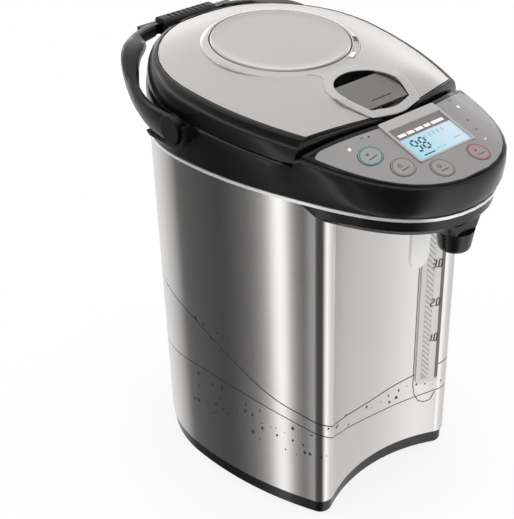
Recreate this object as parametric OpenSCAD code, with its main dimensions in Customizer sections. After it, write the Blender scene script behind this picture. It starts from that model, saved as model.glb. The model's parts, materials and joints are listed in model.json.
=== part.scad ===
/* [Body] */
// Radius of the round back of the body
body_r = 100; // [97:0.5:105]
// Radius of the two rounded front pillars
pillar_r = 11; // [10:0.5:12]
// Height of the lower edge of the steel above the table
steel_z = 16; // [13:0.5:20]
// Height of the upper edge of the steel above the table
body_top = 284; // [275:1:295]
// Wall of the steel sleeve
sleeve_t = 0.8; // [0.6:0.1:1.2]
// Wall of the front panel
panel_t = 1.5; // [1:0.1:2]

/* [Gauge] */
// Width of the water gauge cover
gauge_w = 18; // [16:0.5:18.5]
// Height of the lower end of the gauge cover
gauge_z = 72; // [64:1:90]
// Outer radius of the level tube
level_r = 3.5; // [3:0.1:4]
// Wall of the level tube
level_t = 0.8; // [0.6:0.1:1]

/* [Base] */
// Height of the rubber feet
foot_h = 3; // [2:0.25:4]
// Radius of a rubber foot
foot_r = 9; // [7:0.5:10]
// How far the base band stands back from the steel
base_inset = 1.6; // [1:0.1:2.5]
// Width of the mains inlet recess
inlet_w = 40; // [34:1:46]
// Height of the mains inlet recess
inlet_h = 24; // [20:1:28]
// Depth of the mains inlet recess
inlet_d = 14; // [10:1:16]
// Height of the middle of the mains inlet
inlet_z = 48; // [42:1:54]

/* [Inner pot] */
// Wall of the pot
pot_t = 1; // [0.8:0.1:1.5]
// Height of the pot's floor
pot_z = 70; // [66:1:76]
// Height of the pot's rim
pot_top = 296; // [290:1:296]

/* [Head] */
// Tilt of the lid and the head's rim, down towards the front
tilt_a = 5; // [4:0.25:6]
// Height of the joint line between lid and housing, at the body axis
seam_z = 319.5; // [316:0.5:323]
// Height of the beak's rim above the joint line
rim_h = 8; // [6:0.5:10]
// Height of the panel's crown above its rim, at its rear edge
panel_crown = 18.6; // [15:0.2:20]
// Wall of the upper housing
house_t = 2.6; // [2:0.1:3]
// Depth of the beak's underside below the bright trim
bowl_h = 13; // [10:0.5:15]
// Height of the bright trim line
trim_h = 2.2; // [1.5:0.1:3]

/* [Control panel] */
// Thickness of the control panel
overlay_t = 1.2; // [1:0.1:1.5]
// Width of the display frame
lcd_w = 53; // [50:0.5:54]
// Depth of the display frame, from rear to front
lcd_d = 42; // [40:0.5:43]
// Radius of a key
key_r = 8.2; // [7:0.1:9]
// Travel of a key
key_travel = 0.8; // [0.5:0.1:1]

/* [Lid] */
// Width of the black band round the lid plate
band_w = 9.5; // [8:0.25:11]
// Height of the lid plate's edge above the joint line
edge_h = 18.8; // [17:0.2:20]
// Height of the lid plate's crown above its edge
crown_h = 10.2; // [8:0.2:11]
// Thickness of the lid plate
plate_t = 1.2; // [0.8:0.1:1.5]
// Width of the bright ring round the press plate
ring_w = 7; // [5:0.5:8]
// Height of the lid hinge above the joint line
hinge_h = 5.5; // [5:0.25:6]

/* [Handle] */
// Height of the handle pivots above the table
pivot_z = 312; // [308:1:314]
// Distance of the handle pivots in front of the body axis
pivot_y = 8; // [4:1:12]
// Rise of the grip above the pivots
bail_rise = 22; // [19:0.5:24]
// Length of the grip
grip_l = 52; // [46:1:64]
// Radius of the handle pins
hpin_r = 3.5; // [3:0.1:4]

/* [Spout] */
// Outer radius of the nozzle shroud
nozzle_r = 11.5; // [10.5:0.5:12.5]
// Height of the nozzle's mouth above the table
nozzle_z = 250; // [246:1:254]
// Inner radius of the spout tube
spout_r = 4; // [3:0.1:4.5]
// Width of the cup lever
lever_w = 19; // [16:0.5:20]
// Height of the cup lever's lower end
lever_z = 218; // [210:1:226]

/* [Hidden] */

gap = 0.3;              // clearance between bodies that pass each other
seat = 0.05;            // clearance between pieces of one body
run = 0.05;             // radial clearance of a pin in its hole
fine = 120;             // facets of a large circle
small = 48;             // facets of a small circle

black = [0.06, 0.06, 0.065];
steel = [0.74, 0.72, 0.71];
bright = [0.88, 0.88, 0.89];
grey = [0.55, 0.54, 0.54];
white = [0.9, 0.9, 0.88];

// sizes that grow with the body
side_r = 2.88 * body_r;         // long curve of each side
pillar_y = 1.16 * body_r;       // centres of the two front pillars
recess_y = 1.12 * body_r;       // middle of the hollow front panel
panel_half = 0.58 * body_r;     // half width of the front panel
pot_r = 0.76 * body_r;          // inner radius of the pot
mouth_r = 0.84 * body_r;        // housing's mouth over the pot
plug_r = 0.7 * body_r;          // lid plug
beak_tip = 1.995 * body_r;      // tip of the beak at its rim
front_tip = 1.955 * body_r;     // tip of the beak at its lower edge
split_r = 1.75 * body_r;        // curve between lid and control panel
split_y = 1.275 * body_r;       // middle of that curve
press_r = 0.525 * body_r;       // press plate
bezel_r = 0.315 * body_r;       // rounded rear of the latch bezel
bezel_y = 0.94 * body_r;        // its centre
hinge_y = 0.915 * body_r;       // lid hinge
latch_y = 1.108 * body_r;       // latch pivot
bail_x = 1.06 * body_r;         // middle of the handle's arms
bail_l = 1.23 * body_r;         // reach of the handle
nozzle_y = 1.81 * body_r;       // nozzle
lever_y = 1.5 * body_r;         // cup lever
lcd_y = -1.495 * body_r;        // middle of the display frame

// plan of the body: two side arcs, a round back, two pillars and the hollow front between them
side_c = side_r - body_r;
pillar_x = sqrt(pow(side_r - pillar_r, 2) - pow(pillar_y, 2)) - side_c;
front_d = recess_y - pillar_r;
recess_c = (pow(pillar_x, 2) + pow(pillar_y, 2) - pow(front_d, 2)) / (2 * (pillar_y - front_d));
recess_r = recess_c - recess_y;
out = [-(pillar_x + side_c), -pillar_y] / (side_r - pillar_r);
meet = [pillar_x, recess_c - pillar_y] / (recess_r + pillar_r) * recess_r - [0, recess_c];

function mirror_x(p) = [-p[0], p[1]];
function side_x(y, d = 0) = sqrt(pow(side_r - d, 2) - pow(min(y, 0), 2)) - side_c;
function front_at(x, d = 0) = sqrt(pow(recess_r + d, 2) - x * x) - recess_c;

module body_plan(d = 0) {
    reach = 90;
    c = [-pillar_x, -pillar_y];
    mask = [[-1.5 * body_r, 0], c + reach * out, c, mirror_x(meet), meet,
        mirror_x(c), mirror_x(c + reach * out), [1.5 * body_r, 0]];
    difference() {
        union() {
            intersection() {
                circle(r = body_r - d, $fn = fine);
                translate([-1.5 * body_r, -0.01]) square([3 * body_r, 1.5 * body_r]);
            }
            intersection() {
                translate([side_c, 0]) circle(r = side_r - d, $fn = 2 * fine);
                translate([-side_c, 0]) circle(r = side_r - d, $fn = 2 * fine);
                polygon(mask);
            }
            for (s = [-1, 1]) translate([s * pillar_x, -pillar_y]) circle(r = pillar_r - d, $fn = small);
        }
        translate([0, -recess_c]) circle(r = recess_r + d, $fn = fine);
    }
}

module shell_plan(d, t) {
    difference() {
        body_plan(d);
        body_plan(d + t);
    }
}

// frame of the head: the joint line's plane, tilted down to the front
module head() translate([0, 0, seam_z]) rotate([tilt_a, 0, 0]) children();
function to_world(p) = [p[0], p[1] * cos(tilt_a) - p[2] * sin(tilt_a),
    seam_z + p[1] * sin(tilt_a) + p[2] * cos(tilt_a)];
function smooth(t) = let(c = max(0, min(1, t))) c * c * (3 - 2 * c);

// closed solid through rings of equal length; the last ring closes on the point tip
module skin(rings, tip) {
    n = len(rings[0]);
    m = len(rings);
    pts = concat([for (r = rings) for (p = r) p], [tip]);
    sides = [for (i = [0 : m - 2]) for (j = [0 : n - 1]) let(k = (j + 1) % n,
        a = i * n + j, b = i * n + k, c = a + n, d = b + n) each [[a, c, d], [a, d, b]]];
    cap = [for (j = [0 : n - 1]) [(m - 1) * n + j, m * n, (m - 1) * n + (j + 1) % n]];
    polyhedron(faces = concat([[for (j = [0 : n - 1]) j]], sides, cap), points = pts, convexity = 6);
}

// closed slab between two grids of rows (rear to front) and columns (left to right)
module slab(top, bottom) {
    m = len(top);
    n = len(top[0]);
    pts = concat([for (r = top) for (p = r) p], [for (r = bottom) for (p = r) p]);
    h = m * n;
    function quad(a, b, c, d) = [[a, b, c], [a, c, d]];
    faces = concat(
        [for (i = [0 : m - 2]) for (j = [0 : n - 2]) let(a = i * n + j)
            each quad(a, a + 1, a + n + 1, a + n)],
        [for (i = [0 : m - 2]) for (j = [0 : n - 2]) let(a = h + i * n + j)
            each quad(a, a + n, a + n + 1, a + 1)],
        [for (j = [0 : n - 2]) each quad(j + 1, j, h + j, h + j + 1)],
        [for (j = [0 : n - 2]) let(a = (m - 1) * n + j) each quad(a, a + 1, h + a + 1, h + a)],
        [for (i = [0 : m - 2]) let(a = i * n) each quad(a, a + n, h + a + n, h + a)],
        [for (i = [0 : m - 2]) let(a = i * n + n - 1) each quad(a + n, a, h + a, h + a + n)]);
    polyhedron(faces = faces, points = pts, convexity = 6);
}

// round tube or rod swept along a smooth path
function bez(a, b, c, d, t) = pow(1 - t, 3) * a + 3 * t * pow(1 - t, 2) * b
    + 3 * t * t * (1 - t) * c + pow(t, 3) * d;
function unit(v) = v / norm(v);
// a place [x, y] at height z
module at(p, z) translate([p[0], p[1], z]) children();
// round bar along X, centred
module rod(r, l) rotate([0, 90, 0]) cylinder(r = r, h = l, center = true, $fn = small);
axle_r = 1.5;           // pins of the cup lever and of the latch
function ahead(path, i) = unit(path[min(i + 1, len(path) - 1)] - path[max(i - 1, 0)]);
module sweep(path, r, sides = 10, ref = [0, 0, 1]) {
    rings = [for (i = [0 : len(path) - 1]) let(t = ahead(path, i), u = unit(cross(t, ref)), v = cross(t, u))
        [for (j = [0 : sides - 1]) let(a = 360 * j / sides) path[i] + r * (cos(a) * u + sin(a) * v)]];
    m = len(rings);
    polyhedron(points = [for (q = rings) for (p = q) p], convexity = 8,
        faces = concat([[for (j = [0 : sides - 1]) j]],
            [[for (j = [sides - 1 : -1 : 0]) (m - 1) * sides + j]],
            [for (i = [0 : m - 2]) for (j = [0 : sides - 1]) let(k = (j + 1) % sides,
                a = i * sides + j, b = i * sides + k) each [[a, a + sides, b + sides], [a, b + sides, b]]]));
}
function helix(r, h, turns, step = 30) = [for (a = [0 : step : 360 * turns])
    [r * cos(a), r * sin(a), h * a / (360 * turns)]];

// plan of the head: the body's back and sides, drawn out in front to a rounded beak
nose_y = 0.9 * body_r;
nose_n = 14;
function nose_start(d) = [-side_x(-nose_y, d), -nose_y];
function nose(d, tip, t) = let(p = nose_start(d), l = side_r - d,
    g = [nose_y, -sqrt(l * l - nose_y * nose_y)] / l,
    k = (tip - front_tip) / (beak_tip - front_tip))
    bez(p, p + (50 - 24 * k) / 100 * body_r * g, [-(54 + 17 * k) / 100 * body_r + d / 2, -(tip - d)],
        [0, -(tip - d)], t);
function arc_back(d, n = 32) = [for (i = [0 : n]) (body_r - d) * [cos(180 * i / n), sin(180 * i / n)]];
function side_left(d, y0, n = 5) = [for (i = [1 : n]) let(y = -y0 * i / n) [-side_x(y, d), y]];
function flip(l) = [for (i = [len(l) - 1 : -1 : 0]) mirror_x(l[i])];
function head_plan(d = 0, tip = beak_tip) = let(s = side_left(d, nose_y),
    b = [for (i = [1 : nose_n - 1]) nose(d, tip, i / nose_n)])
    concat(arc_back(d), s, b, [[0, -(tip - d)]], flip(b), flip(s));
function at_z(plan, z) = [for (p = plan) [p[0], p[1], z]];

// rim of the housing: on the joint line beside the lid, higher round the beak
function rim_z(y) = rim_h * smooth((-0.98 * body_r - y) / 11);

// crowned surface of the control panel
split_c = split_r - split_y;
crown_rear = -1.11 * body_r;
crown_slope = (panel_crown - 0.2) / (beak_tip + crown_rear);
function panel_z(x, y, w) = rim_h + max(0.2, panel_crown + crown_slope * (y - crown_rear))
    * (1 - pow(min(1, abs(x) / w), 3));
function nose_w(y, i = 1) = let(p = nose(0, beak_tip, (i - 1) / 40), q = nose(0, beak_tip, i / 40))
    q[1] <= y || i >= 40
    ? 0.5 - p[0] + (p[0] - q[0]) * max(0, min(1, (p[1] - y) / (p[1] - q[1]))) : nose_w(y, i + 1);
function split_at(x, r) = split_c - sqrt(r * r - x * x);
// parameter at which the inset nose meets the split curve of radius r
function nose_hit(d, r, t = 0) = let(q = nose(d, beak_tip, t))
    t > 0.6 || q[1] <= split_at(q[0], r) ? t : nose_hit(d, r, t + 0.004);
function panel_grid(d, r, dz, rows = 10, cols = 16) = let(t0 = nose_hit(d, r))
    [for (i = [0 : rows]) let(t = t0 + (0.94 - t0) * i / rows, q = nose(d, beak_tip, t),
        bulge = (split_at(0, r) - split_at(q[0], r)) * pow(1 - i / rows, 1.5))
        [for (j = [0 : cols]) let(u = 2 * j / cols - 1, x = abs(q[0]) * u, y = q[1] + bulge * (1 - u * u))
            to_world([x, y, panel_z(x, y, nose_w(y)) + dz])]];

// crowned surface of the lid plate
function lid_half(y, d) = y > 0 ? sqrt(max(1, pow(body_r - d, 2) - y * y)) : side_x(y, d);
function lid_z(x, y, d = band_w) = let(w = lid_half(y, d),
    c = y > 0 ? norm([x, y]) / (body_r - d) : abs(x) / w)
    edge_h + crown_h * (1 - pow(min(1, c), 3))
        - 0.2 * max(0, -y - 0.92 * body_r) * (1 - pow(min(1, abs(x) / w), 2));
lid_gap = 2;
// forward end of the lid's side, where the inset side meets the lid's front curve
function side_hit(d, r, y = -0.9 * body_r) =
    side_x(y, d) >= sqrt(max(0, r * r - pow(split_c - y, 2))) || y < -1.3 * body_r
    ? y : side_hit(d, r, y - 0.1);
function lid_front(d, r, n = 14) = let(y = side_hit(d, r), x = side_x(y, d))
    [for (i = [1 : n - 1]) let(q = -x + 2 * x * i / n) [q, split_at(q, r)]];
function lid_plan(d, r) = let(y = -side_hit(d, r), s = side_left(d, y, 7))
    concat(arc_back(d, 30), s, lid_front(d, r), flip(s));
function lid_rows(d, r, rows) = let(y = side_hit(d, r))
    concat([for (i = [0 : rows]) (body_r - d) * cos(10 + 80 * i / rows)],
        [for (i = [1 : rows]) y * i / rows]);
function lid_grid(d, r, dz, rows = 9, cols = 20) = let(ys = lid_rows(d, r, rows), yf = ys[len(ys) - 1])
    [for (y0 = ys) let(w = lid_half(y0, d))
        [for (j = [0 : cols]) let(u = 2 * j / cols - 1, x = w * u,
            bulge = split_at(x, r) - split_at(w, r), k = y0 < 0 ? pow(y0 / yf, 3) : 0, y = y0 + bulge * k)
            to_world([x, y, lid_z(x, y) + dz])]];

/* body */
module outer_sleeve() color(steel) difference() {
    translate([0, 0, steel_z]) linear_extrude(body_top - steel_z) difference() {
        shell_plan(0, sleeve_t);
        translate([-panel_half, -1.4 * body_r]) square([2 * panel_half, 0.4 * body_r]);
    }
    translate([0, body_r, inlet_z]) cube([inlet_w + 5, 10, inlet_h + 5], center = true);
}

module rounded(w, h, r) for (x = [r, w - r]) for (y = [r, h - r]) translate([x, y]) circle(r = r, $fn = 24);
module rounded_plan(w, h, r) {
    rounded(w, h, r);
    translate([r, 0]) square([w - 2 * r, h]);
    translate([0, r]) square([w, h - 2 * r]);
}

gauge_x = panel_half - 0.8 - gauge_w;
gauge_top = body_top - 22;
gauge_wall = 1.4;
module gauge_slot(grow) translate([gauge_x - grow, -1.1 * body_r, gauge_z - grow]) rotate([90, 0, 0])
    linear_extrude(0.4 * body_r) rounded_plan(gauge_w + 2 * grow, gauge_top - gauge_z + 2 * grow, 5);

module front_panel() color(steel) difference() {
    translate([0, 0, steel_z]) linear_extrude(body_top - steel_z) intersection() {
        shell_plan(0, panel_t);
        translate([-panel_half + seat, -1.4 * body_r]) square([2 * (panel_half - seat), 0.4 * body_r]);
    }
    gauge_slot(seat - 1);
}

module gauge_cover() color([0.93, 0.93, 0.9, 0.45]) {
    intersection() {
        translate([0, 0, gauge_z - 1]) linear_extrude(gauge_top - gauge_z + 2)
            shell_plan(-gauge_wall, gauge_wall);
        gauge_slot(0);
    }
    intersection() {
        translate([0, 0, gauge_z - 1]) linear_extrude(gauge_top - gauge_z + 2) shell_plan(0, panel_t);
        gauge_slot(-1);
    }
}

tube_x = gauge_x + 0.64 * gauge_w;
tube_y = front_at(tube_x, panel_t + 4 * gap + level_r);
tube_z = gauge_z - 6;
tube_top = gauge_top + 2;
scale_y = tube_y + level_r + gap;
scale_t = 1;
module gauge_scale() color(white) {
    translate([gauge_x + 0.5, scale_y, gauge_z + 2]) cube([gauge_w - 1, scale_t, gauge_top - gauge_z - 4]);
    // side cheeks that carry the plate on the back of the panel
    for (s = [[gauge_x + 1, 1.2], [gauge_x + gauge_w - 2.2, 1.2]])
        translate([0, 0, gauge_z + 2]) linear_extrude(gauge_top - gauge_z - 4) intersection() {
            body_plan(panel_t + seat);
            translate([s[0], -1.4 * body_r]) square([s[1], 1.4 * body_r + scale_y + 0.01]);
        }
}

module level_tube() color([0.9, 0.95, 0.97, 0.35]) translate([tube_x, tube_y, tube_z]) difference() {
    cylinder(r = level_r, h = tube_top - tube_z, $fn = small);
    translate([0, 0, -1]) cylinder(r = level_r - level_t, h = tube_top - tube_z + 2, $fn = small);
}

/* base */
base_t = 2.4;
base_z = foot_h - 0.8;
cover_z = base_z + 0.8;
cover_t = 2.2;
module base_band() color(black) difference() {
    union() {
        translate([0, 0, base_z + 2.2]) linear_extrude(steel_z - base_z - 2.2 - seat) body_plan(base_inset);
        translate([0, 0, base_z + 1]) linear_extrude(1.3) body_plan(base_inset + 0.6);
        translate([0, 0, base_z]) linear_extrude(1.1) body_plan(base_inset + 1.7);
        // lip inside the steel sleeve
        translate([0, 0, steel_z - 1]) linear_extrude(9) body_plan(sleeve_t + 0.9);
    }
    translate([0, 0, cover_z + cover_t]) linear_extrude(40) body_plan(sleeve_t + 0.9 + base_t);
    translate([0, 0, -1]) linear_extrude(cover_z + 10) body_plan(base_inset + 6);
}

foot_at = [for (p = [[-60, 58], [60, 58], [-56, -102], [56, -102]]) p * body_r / 100];
module bottom_cover() color(black) difference() {
    translate([0, 0, cover_z]) linear_extrude(cover_t) body_plan(base_inset + 6 + seat);
    for (p = foot_at) at(p, cover_z - 1) cylinder(r = foot_neck + run, h = cover_t + 2, $fn = small);
    for (p = screw_at) at(p, cover_z - 1) cylinder(r = 2.2, h = cover_t + 2, $fn = small);
    for (x = [-24 : 8 : 24]) translate([x - 1.5, -30, cover_z - 1]) cube([3, 52, cover_t + 2]);
}

// neck that a foot passes through the cover, with a bead above it
foot_neck = 4;
foot_bead = foot_neck + 0.8;
cover_top = cover_z + cover_t;
module rubber_feet() color([0.16, 0.16, 0.16]) for (p = foot_at) at(p, 0) rotate_extrude($fn = small)
    polygon([[0, 0], [foot_r - 1, 0], [foot_r, 1], [foot_r, cover_z - seat], [foot_neck, cover_z - seat],
        [foot_neck, cover_top], [foot_bead, cover_top + seat], [foot_neck, cover_top + 2.5],
        [0, cover_top + 2.5]]);

screw_at = [for (p = [[-75, 0], [75, 0], [-28, -92], [28, -92], [0, 80]]) p * body_r / 100];
module bottom_screws() color(bright) for (p = screw_at) translate([p[0], p[1], cover_z - 1.4]) difference() {
    union() {
        cylinder(r = 3.6, h = 1.35, $fn = small);
        cylinder(r = 1.8, h = 10, $fn = small);
    }
    for (a = [0, 90]) rotate(a) translate([-2, -0.4, -1]) cube([4, 0.8, 1.7]);
}

module inlet_socket() color(black) difference() {
    union() {
        intersection() {
            translate([-inlet_w / 2 - 5, 0, inlet_z - inlet_h / 2 - 5])
                cube([inlet_w + 10, 2 * body_r, inlet_h + 10]);
            translate([0, 0, inlet_z - inlet_h]) linear_extrude(2 * inlet_h) shell_plan(-2.2, 2.2 - seat);
        }
        intersection() {
            translate([-inlet_w / 2 - 2, body_r - inlet_d - 2, inlet_z - inlet_h / 2 - 2])
                cube([inlet_w + 4, inlet_d + 8, inlet_h + 4]);
            cylinder(r = body_r + 1, h = 2 * inlet_z, $fn = fine);
        }
    }
    translate([-inlet_w / 2, body_r - inlet_d, inlet_z - inlet_h / 2]) cube([inlet_w, inlet_d + 10, inlet_h]);
    for (x = pin_at) translate([x, body_r - inlet_d - 4, inlet_z]) rotate([-90, 0, 0])
        cylinder(r = pin_r, h = 6, $fn = small);
}

pin_at = [-9, 0, 9];
pin_r = 1.6;
module inlet_pins() color([0.85, 0.72, 0.4]) for (x = pin_at)
    translate([x, body_r - inlet_d - 6, inlet_z]) rotate([-90, 0, 0]) {
        cylinder(r = pin_r, h = 14, $fn = small);
        cylinder(r = pin_r + 1, h = 3.8, $fn = small);
    }

/* inside the body */
module inner_pot() color(bright) rotate_extrude($fn = fine) polygon([
    [pot_outlet, pot_z - pot_t], [pot_r - 6, pot_z - pot_t], [pot_r - 1.5, pot_z + 1.2],
    [pot_r + pot_t, pot_z + 6],
    [pot_r + pot_t, pot_top - pot_t], [pot_r + 6, pot_top - pot_t], [pot_r + 6, pot_top],
    [pot_r, pot_top], [pot_r, pot_z + 6.4], [pot_r - 2.2, pot_z + 2.2], [pot_r - 6.4, pot_z],
    [pot_outlet, pot_z]]);
pot_outlet = 6;

module insulation() color([0.85, 0.8, 0.6]) translate([0, 0, pot_z + 2]) difference() {
    cylinder(r = body_r - 8, h = pot_top - pot_z - 16, $fn = fine);
    translate([0, 0, -1]) cylinder(r = pot_r + pot_t + gap, h = pot_top, $fn = fine);
}

heater_z = pot_z - pot_t - 8;
module heater_plate() color([0.6, 0.58, 0.55]) difference() {
    union() {
        translate([0, 0, heater_z]) cylinder(r = pot_r - 10, h = 8 - seat, $fn = fine);
        translate([0, 0, heater_z - 3]) rotate_extrude($fn = fine) translate([pot_r - 22, 0]) square([9, 4]);
    }
    translate([0, 0, heater_z - 5]) cylinder(r = pot_outlet + 4, h = 20, $fn = small);
}

module thermostats() color([0.8, 0.8, 0.78]) for (p = [[-38, 20], [-38, -12]]) at(p, heater_z - 7) {
    cylinder(r = 8, h = 7 - seat, $fn = small);
    for (x = [-4, 4]) translate([x - 1.5, -0.4, -6]) cube([3, 0.8, 6.1]);
}

pump_z = 34;
module pump_body() color([0.88, 0.88, 0.85]) difference() {
    union() {
        translate([0, 0, pump_z]) cylinder(r = 22, h = 15, $fn = small);
        translate([0, 0, pump_z + 14])
            cylinder(r = pot_outlet + 2, h = pot_z - pot_t - seat - pump_z - 14, $fn = small);
        translate([14, 0, pump_z + 7.5]) rotate([90, 0, 0]) cylinder(r = 5, h = 34, $fn = small);
    }
    translate([0, 0, pump_z + 2]) cylinder(r = 20, h = 11, $fn = small);
    translate([0, 0, pump_z + 10]) cylinder(r = pot_outlet, h = 60, $fn = small);
    translate([14, 1, pump_z + 7.5]) rotate([90, 0, 0]) cylinder(r = 3.2, h = 40, $fn = small);
    translate([0, 0, pump_z - 1]) cylinder(r = 1.5 + run, h = 5, $fn = small);
}

module pump_motor() color([0.7, 0.7, 0.72]) difference() {
    translate([0, 0, pump_z - 26]) cylinder(r = 17, h = 26 - seat, $fn = small);
    translate([0, 0, pump_z - 8]) cylinder(r = 1.5 + run, h = 12, $fn = small);
}

module pump_impeller() color(white) {
    translate([0, 0, pump_z - 7]) cylinder(r = 1.5, h = 12, $fn = small);
    translate([0, 0, pump_z + 3]) cylinder(r = 17, h = 1.6, $fn = small);
    translate([0, 0, pump_z + 3]) cylinder(r = 4.5, h = 7, $fn = small);
    for (a = [0 : 60 : 300]) rotate(a) translate([4, -0.7, pump_z + 3]) cube([12.5, 1.4, 6.5]);
}

function curve(pts, n = 7) = concat([for (k = [0 : 3 : len(pts) - 4]) for (i = [0 : n - 1])
    bez(pts[k], pts[k + 1], pts[k + 2], pts[k + 3], i / n)], [pts[len(pts) - 1]]);
// silicone hoses, butted to the ends of the rigid tubes
hose_r = 4.6;
hose_bore = 2.8;
module hose(path, ref) difference() {
    n = len(path) - 1;
    sweep(path, hose_r, 12, ref);
    sweep(concat([path[0] - unit(path[1] - path[0])], path, [path[n] + unit(path[n] - path[n - 1])]),
        hose_bore, 12, ref);
}
module pump_hose() color([0.9, 0.88, 0.84]) hose(curve([
    [14, -34 - seat, pump_z + 7.5], [14, -62, pump_z + 7.5],
    [tube_x, tube_y + 2, pump_z], [tube_x, tube_y, tube_z - seat]], 12), [1, 0, 0]);
spout_top = body_top - 7;
hose_z = body_top + 8;
module riser_hose() color([0.9, 0.88, 0.84]) hose(curve([[tube_x, tube_y, tube_top + seat],
    [tube_x, tube_y + 1.5, body_top - 6], [tube_x, tube_y + 2, body_top + 10],
    [tube_x - 5, tube_y - 9, hose_z + 3], [tube_x - 10, tube_y - 20, hose_z - 2],
    [28, -nozzle_y + 19, hose_z + 1], [16, -nozzle_y + 9, hose_z], [6, -nozzle_y, hose_z - 1],
    [0, -nozzle_y, hose_z], [0, -nozzle_y, spout_top + seat]], 7), [1, 0.3, 0]);

module power_board() color([0.1, 0.35, 0.2]) {
    translate([-0.66 * body_r, 0.28 * body_r, 24]) {
        cube([58, 32, 1.6]);
        translate([8, 6, 1.6]) cube([16, 20, 12]);
        translate([32, 12, 1.6]) cylinder(r = 5, h = 14, $fn = small);
        for (p = [[4, 4], [18, 28], [54, 4], [54, 28]]) translate([p[0], p[1], cover_z + cover_t + seat - 24])
            cylinder(r = 2.5, h = 24 - cover_z - cover_t - seat, $fn = small);
    }
}

/* upper housing */
house_z = body_top + trim_h;
module collar() color(black) difference() {
    union() {
        skin([at_z(head_plan(0.2, front_tip), house_z + seat),
            at_z(head_plan(-0.4, front_tip + 2.6), house_z + 7),
            [for (p = head_plan(-0.4)) to_world([p[0], p[1], rim_z(p[1]) - 7])],
            [for (p = head_plan(0)) to_world([p[0], p[1], rim_z(p[1]) - 2.5])],
            [for (p = head_plan(1)) to_world([p[0], p[1], rim_z(p[1]) - 0.6])],
            [for (p = head_plan(2.2)) to_world([p[0], p[1], rim_z(p[1]) - 0.15])]], to_world([0, -30, -0.2]));
        for (s = [0, 1]) mirror([s, 0, 0]) handle_ear();
        hinge_ears();
    }
    // room for the lid above the joint line
    head() translate([0, split_c, -0.1]) difference() {
        cylinder(r = split_r + 0.2, h = 60, $fn = 2 * fine);
        translate([-40, hinge_y - split_c - 6.5, -1]) cube([80, 60, 70]);
    }
    // mouth over the pot, with a lip that carries the pot's flange
    translate([0, 0, pot_top - pot_t - seat]) cylinder(r = mouth_r, h = body_top, $fn = fine);
    cylinder(r = pot_r + pot_t + gap, h = 2 * body_top, $fn = fine);
    cylinder(r = mouth_r, h = pot_top - pot_t - 3.5, $fn = fine);
    // hollow of the ring under its deck, and of the beak
    difference() {
        skin([at_z(head_plan(house_t, front_tip), house_z - 1), [for (p = head_plan(house_t))
            to_world([p[0], p[1], -2.6])]], to_world([0, -30, -2.6]));
        cylinder(r = mouth_r + 2.4, h = 2 * body_top, $fn = fine);
        for (s = [-1, 1]) translate([s * body_r, -pivot_y, pivot_z]) rotate([0, 90, 0])
            cylinder(r = 9, h = 22, center = true, $fn = small);
    }
    head() difference() {
        translate([0, 0, -12]) linear_extrude(50) polygon(head_plan(house_t));
        translate([0, split_c, -14]) cylinder(r = split_r + 2.2, h = 60, $fn = 2 * fine);
    }
    // pocket under the lid for the latch hook
    head() translate([-7.5, -latch_y - 7.2, -9]) cube([15, 24, 12]);
    // holes of the handle pins
    for (s = [-1, 1]) translate([s * body_r, -pivot_y, pivot_z]) rotate([0, 90, 0])
        cylinder(r = hpin_r + run, h = 26, center = true, $fn = small);
    // hole of the lid hinge pin
    head() translate([0, hinge_y, hinge_h]) rod(lpin_r + run, 80);
}

// boss and open cup round the end of a handle arm; local -x is up, y is to the rear
arm_r = 10.5;
cup_l = 26;
module cup_plan(r) {
    circle(r = r, $fn = small);
    translate([-8, -r]) square([8, r]);
    square([r, cup_l]);
    translate([r - 8, cup_l]) circle(r = 8, $fn = small);
}
module handle_ear() translate([0, -pivot_y, pivot_z]) rotate([0, 90, 0]) {
    translate([0, 0, mouth_r + 4]) cylinder(r = 8, h = bail_x - 3.5 - gap - mouth_r - 4, $fn = small);
    difference() {
        union() {
            translate([0, 0, body_r - 8]) linear_extrude(bail_x - body_r + 8) cup_plan(arm_r + 4.8);
            translate([0, 0, bail_x - 0.1]) linear_extrude(1.2) cup_plan(arm_r + 4);
        }
        translate([0, 0, body_r + 1.2]) cylinder(r = arm_r + 1, h = 20, $fn = small);
        translate([-40, -arm_r - 1, body_r + 1.2]) cube([40, 90, 20]);
        translate([-1, 0, body_r + 1.2]) cube([arm_r + 2, 90, 20]);
        // deeper where the arm leans in
        translate([-40, arm_r + 4, body_r - 0.4]) cube([arm_r + 41, 70, 20]);
        // the cup's side leans on the housing only
        translate([-40, -arm_r - 20, body_r - 9]) cube([34, 90, 30]);
    }
}

lpin_r = 2;
knuckle_r = 5;
module hinge_ears() head() for (x = [-36, 25]) translate([x, hinge_y, hinge_h]) rotate([0, 90, 0]) {
    cylinder(r = knuckle_r, h = 11, $fn = small);
    translate([0, -3.4, 0]) cube([hinge_h + 3, 6.4, 11]);
}

module ring_plan(d_out, d_in, tip_out, tip_in) difference() {
    polygon(head_plan(d_out, tip_out));
    polygon(head_plan(d_in, tip_in));
}
module trim_ring() color(bright) difference() {
    translate([0, 0, body_top + seat]) linear_extrude(trim_h - seat) ring_plan(-0.7, 3, front_tip, front_tip);
    translate([0, 0, body_top - 1]) linear_extrude(1 + seat) body_plan(-0.1);
}

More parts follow.
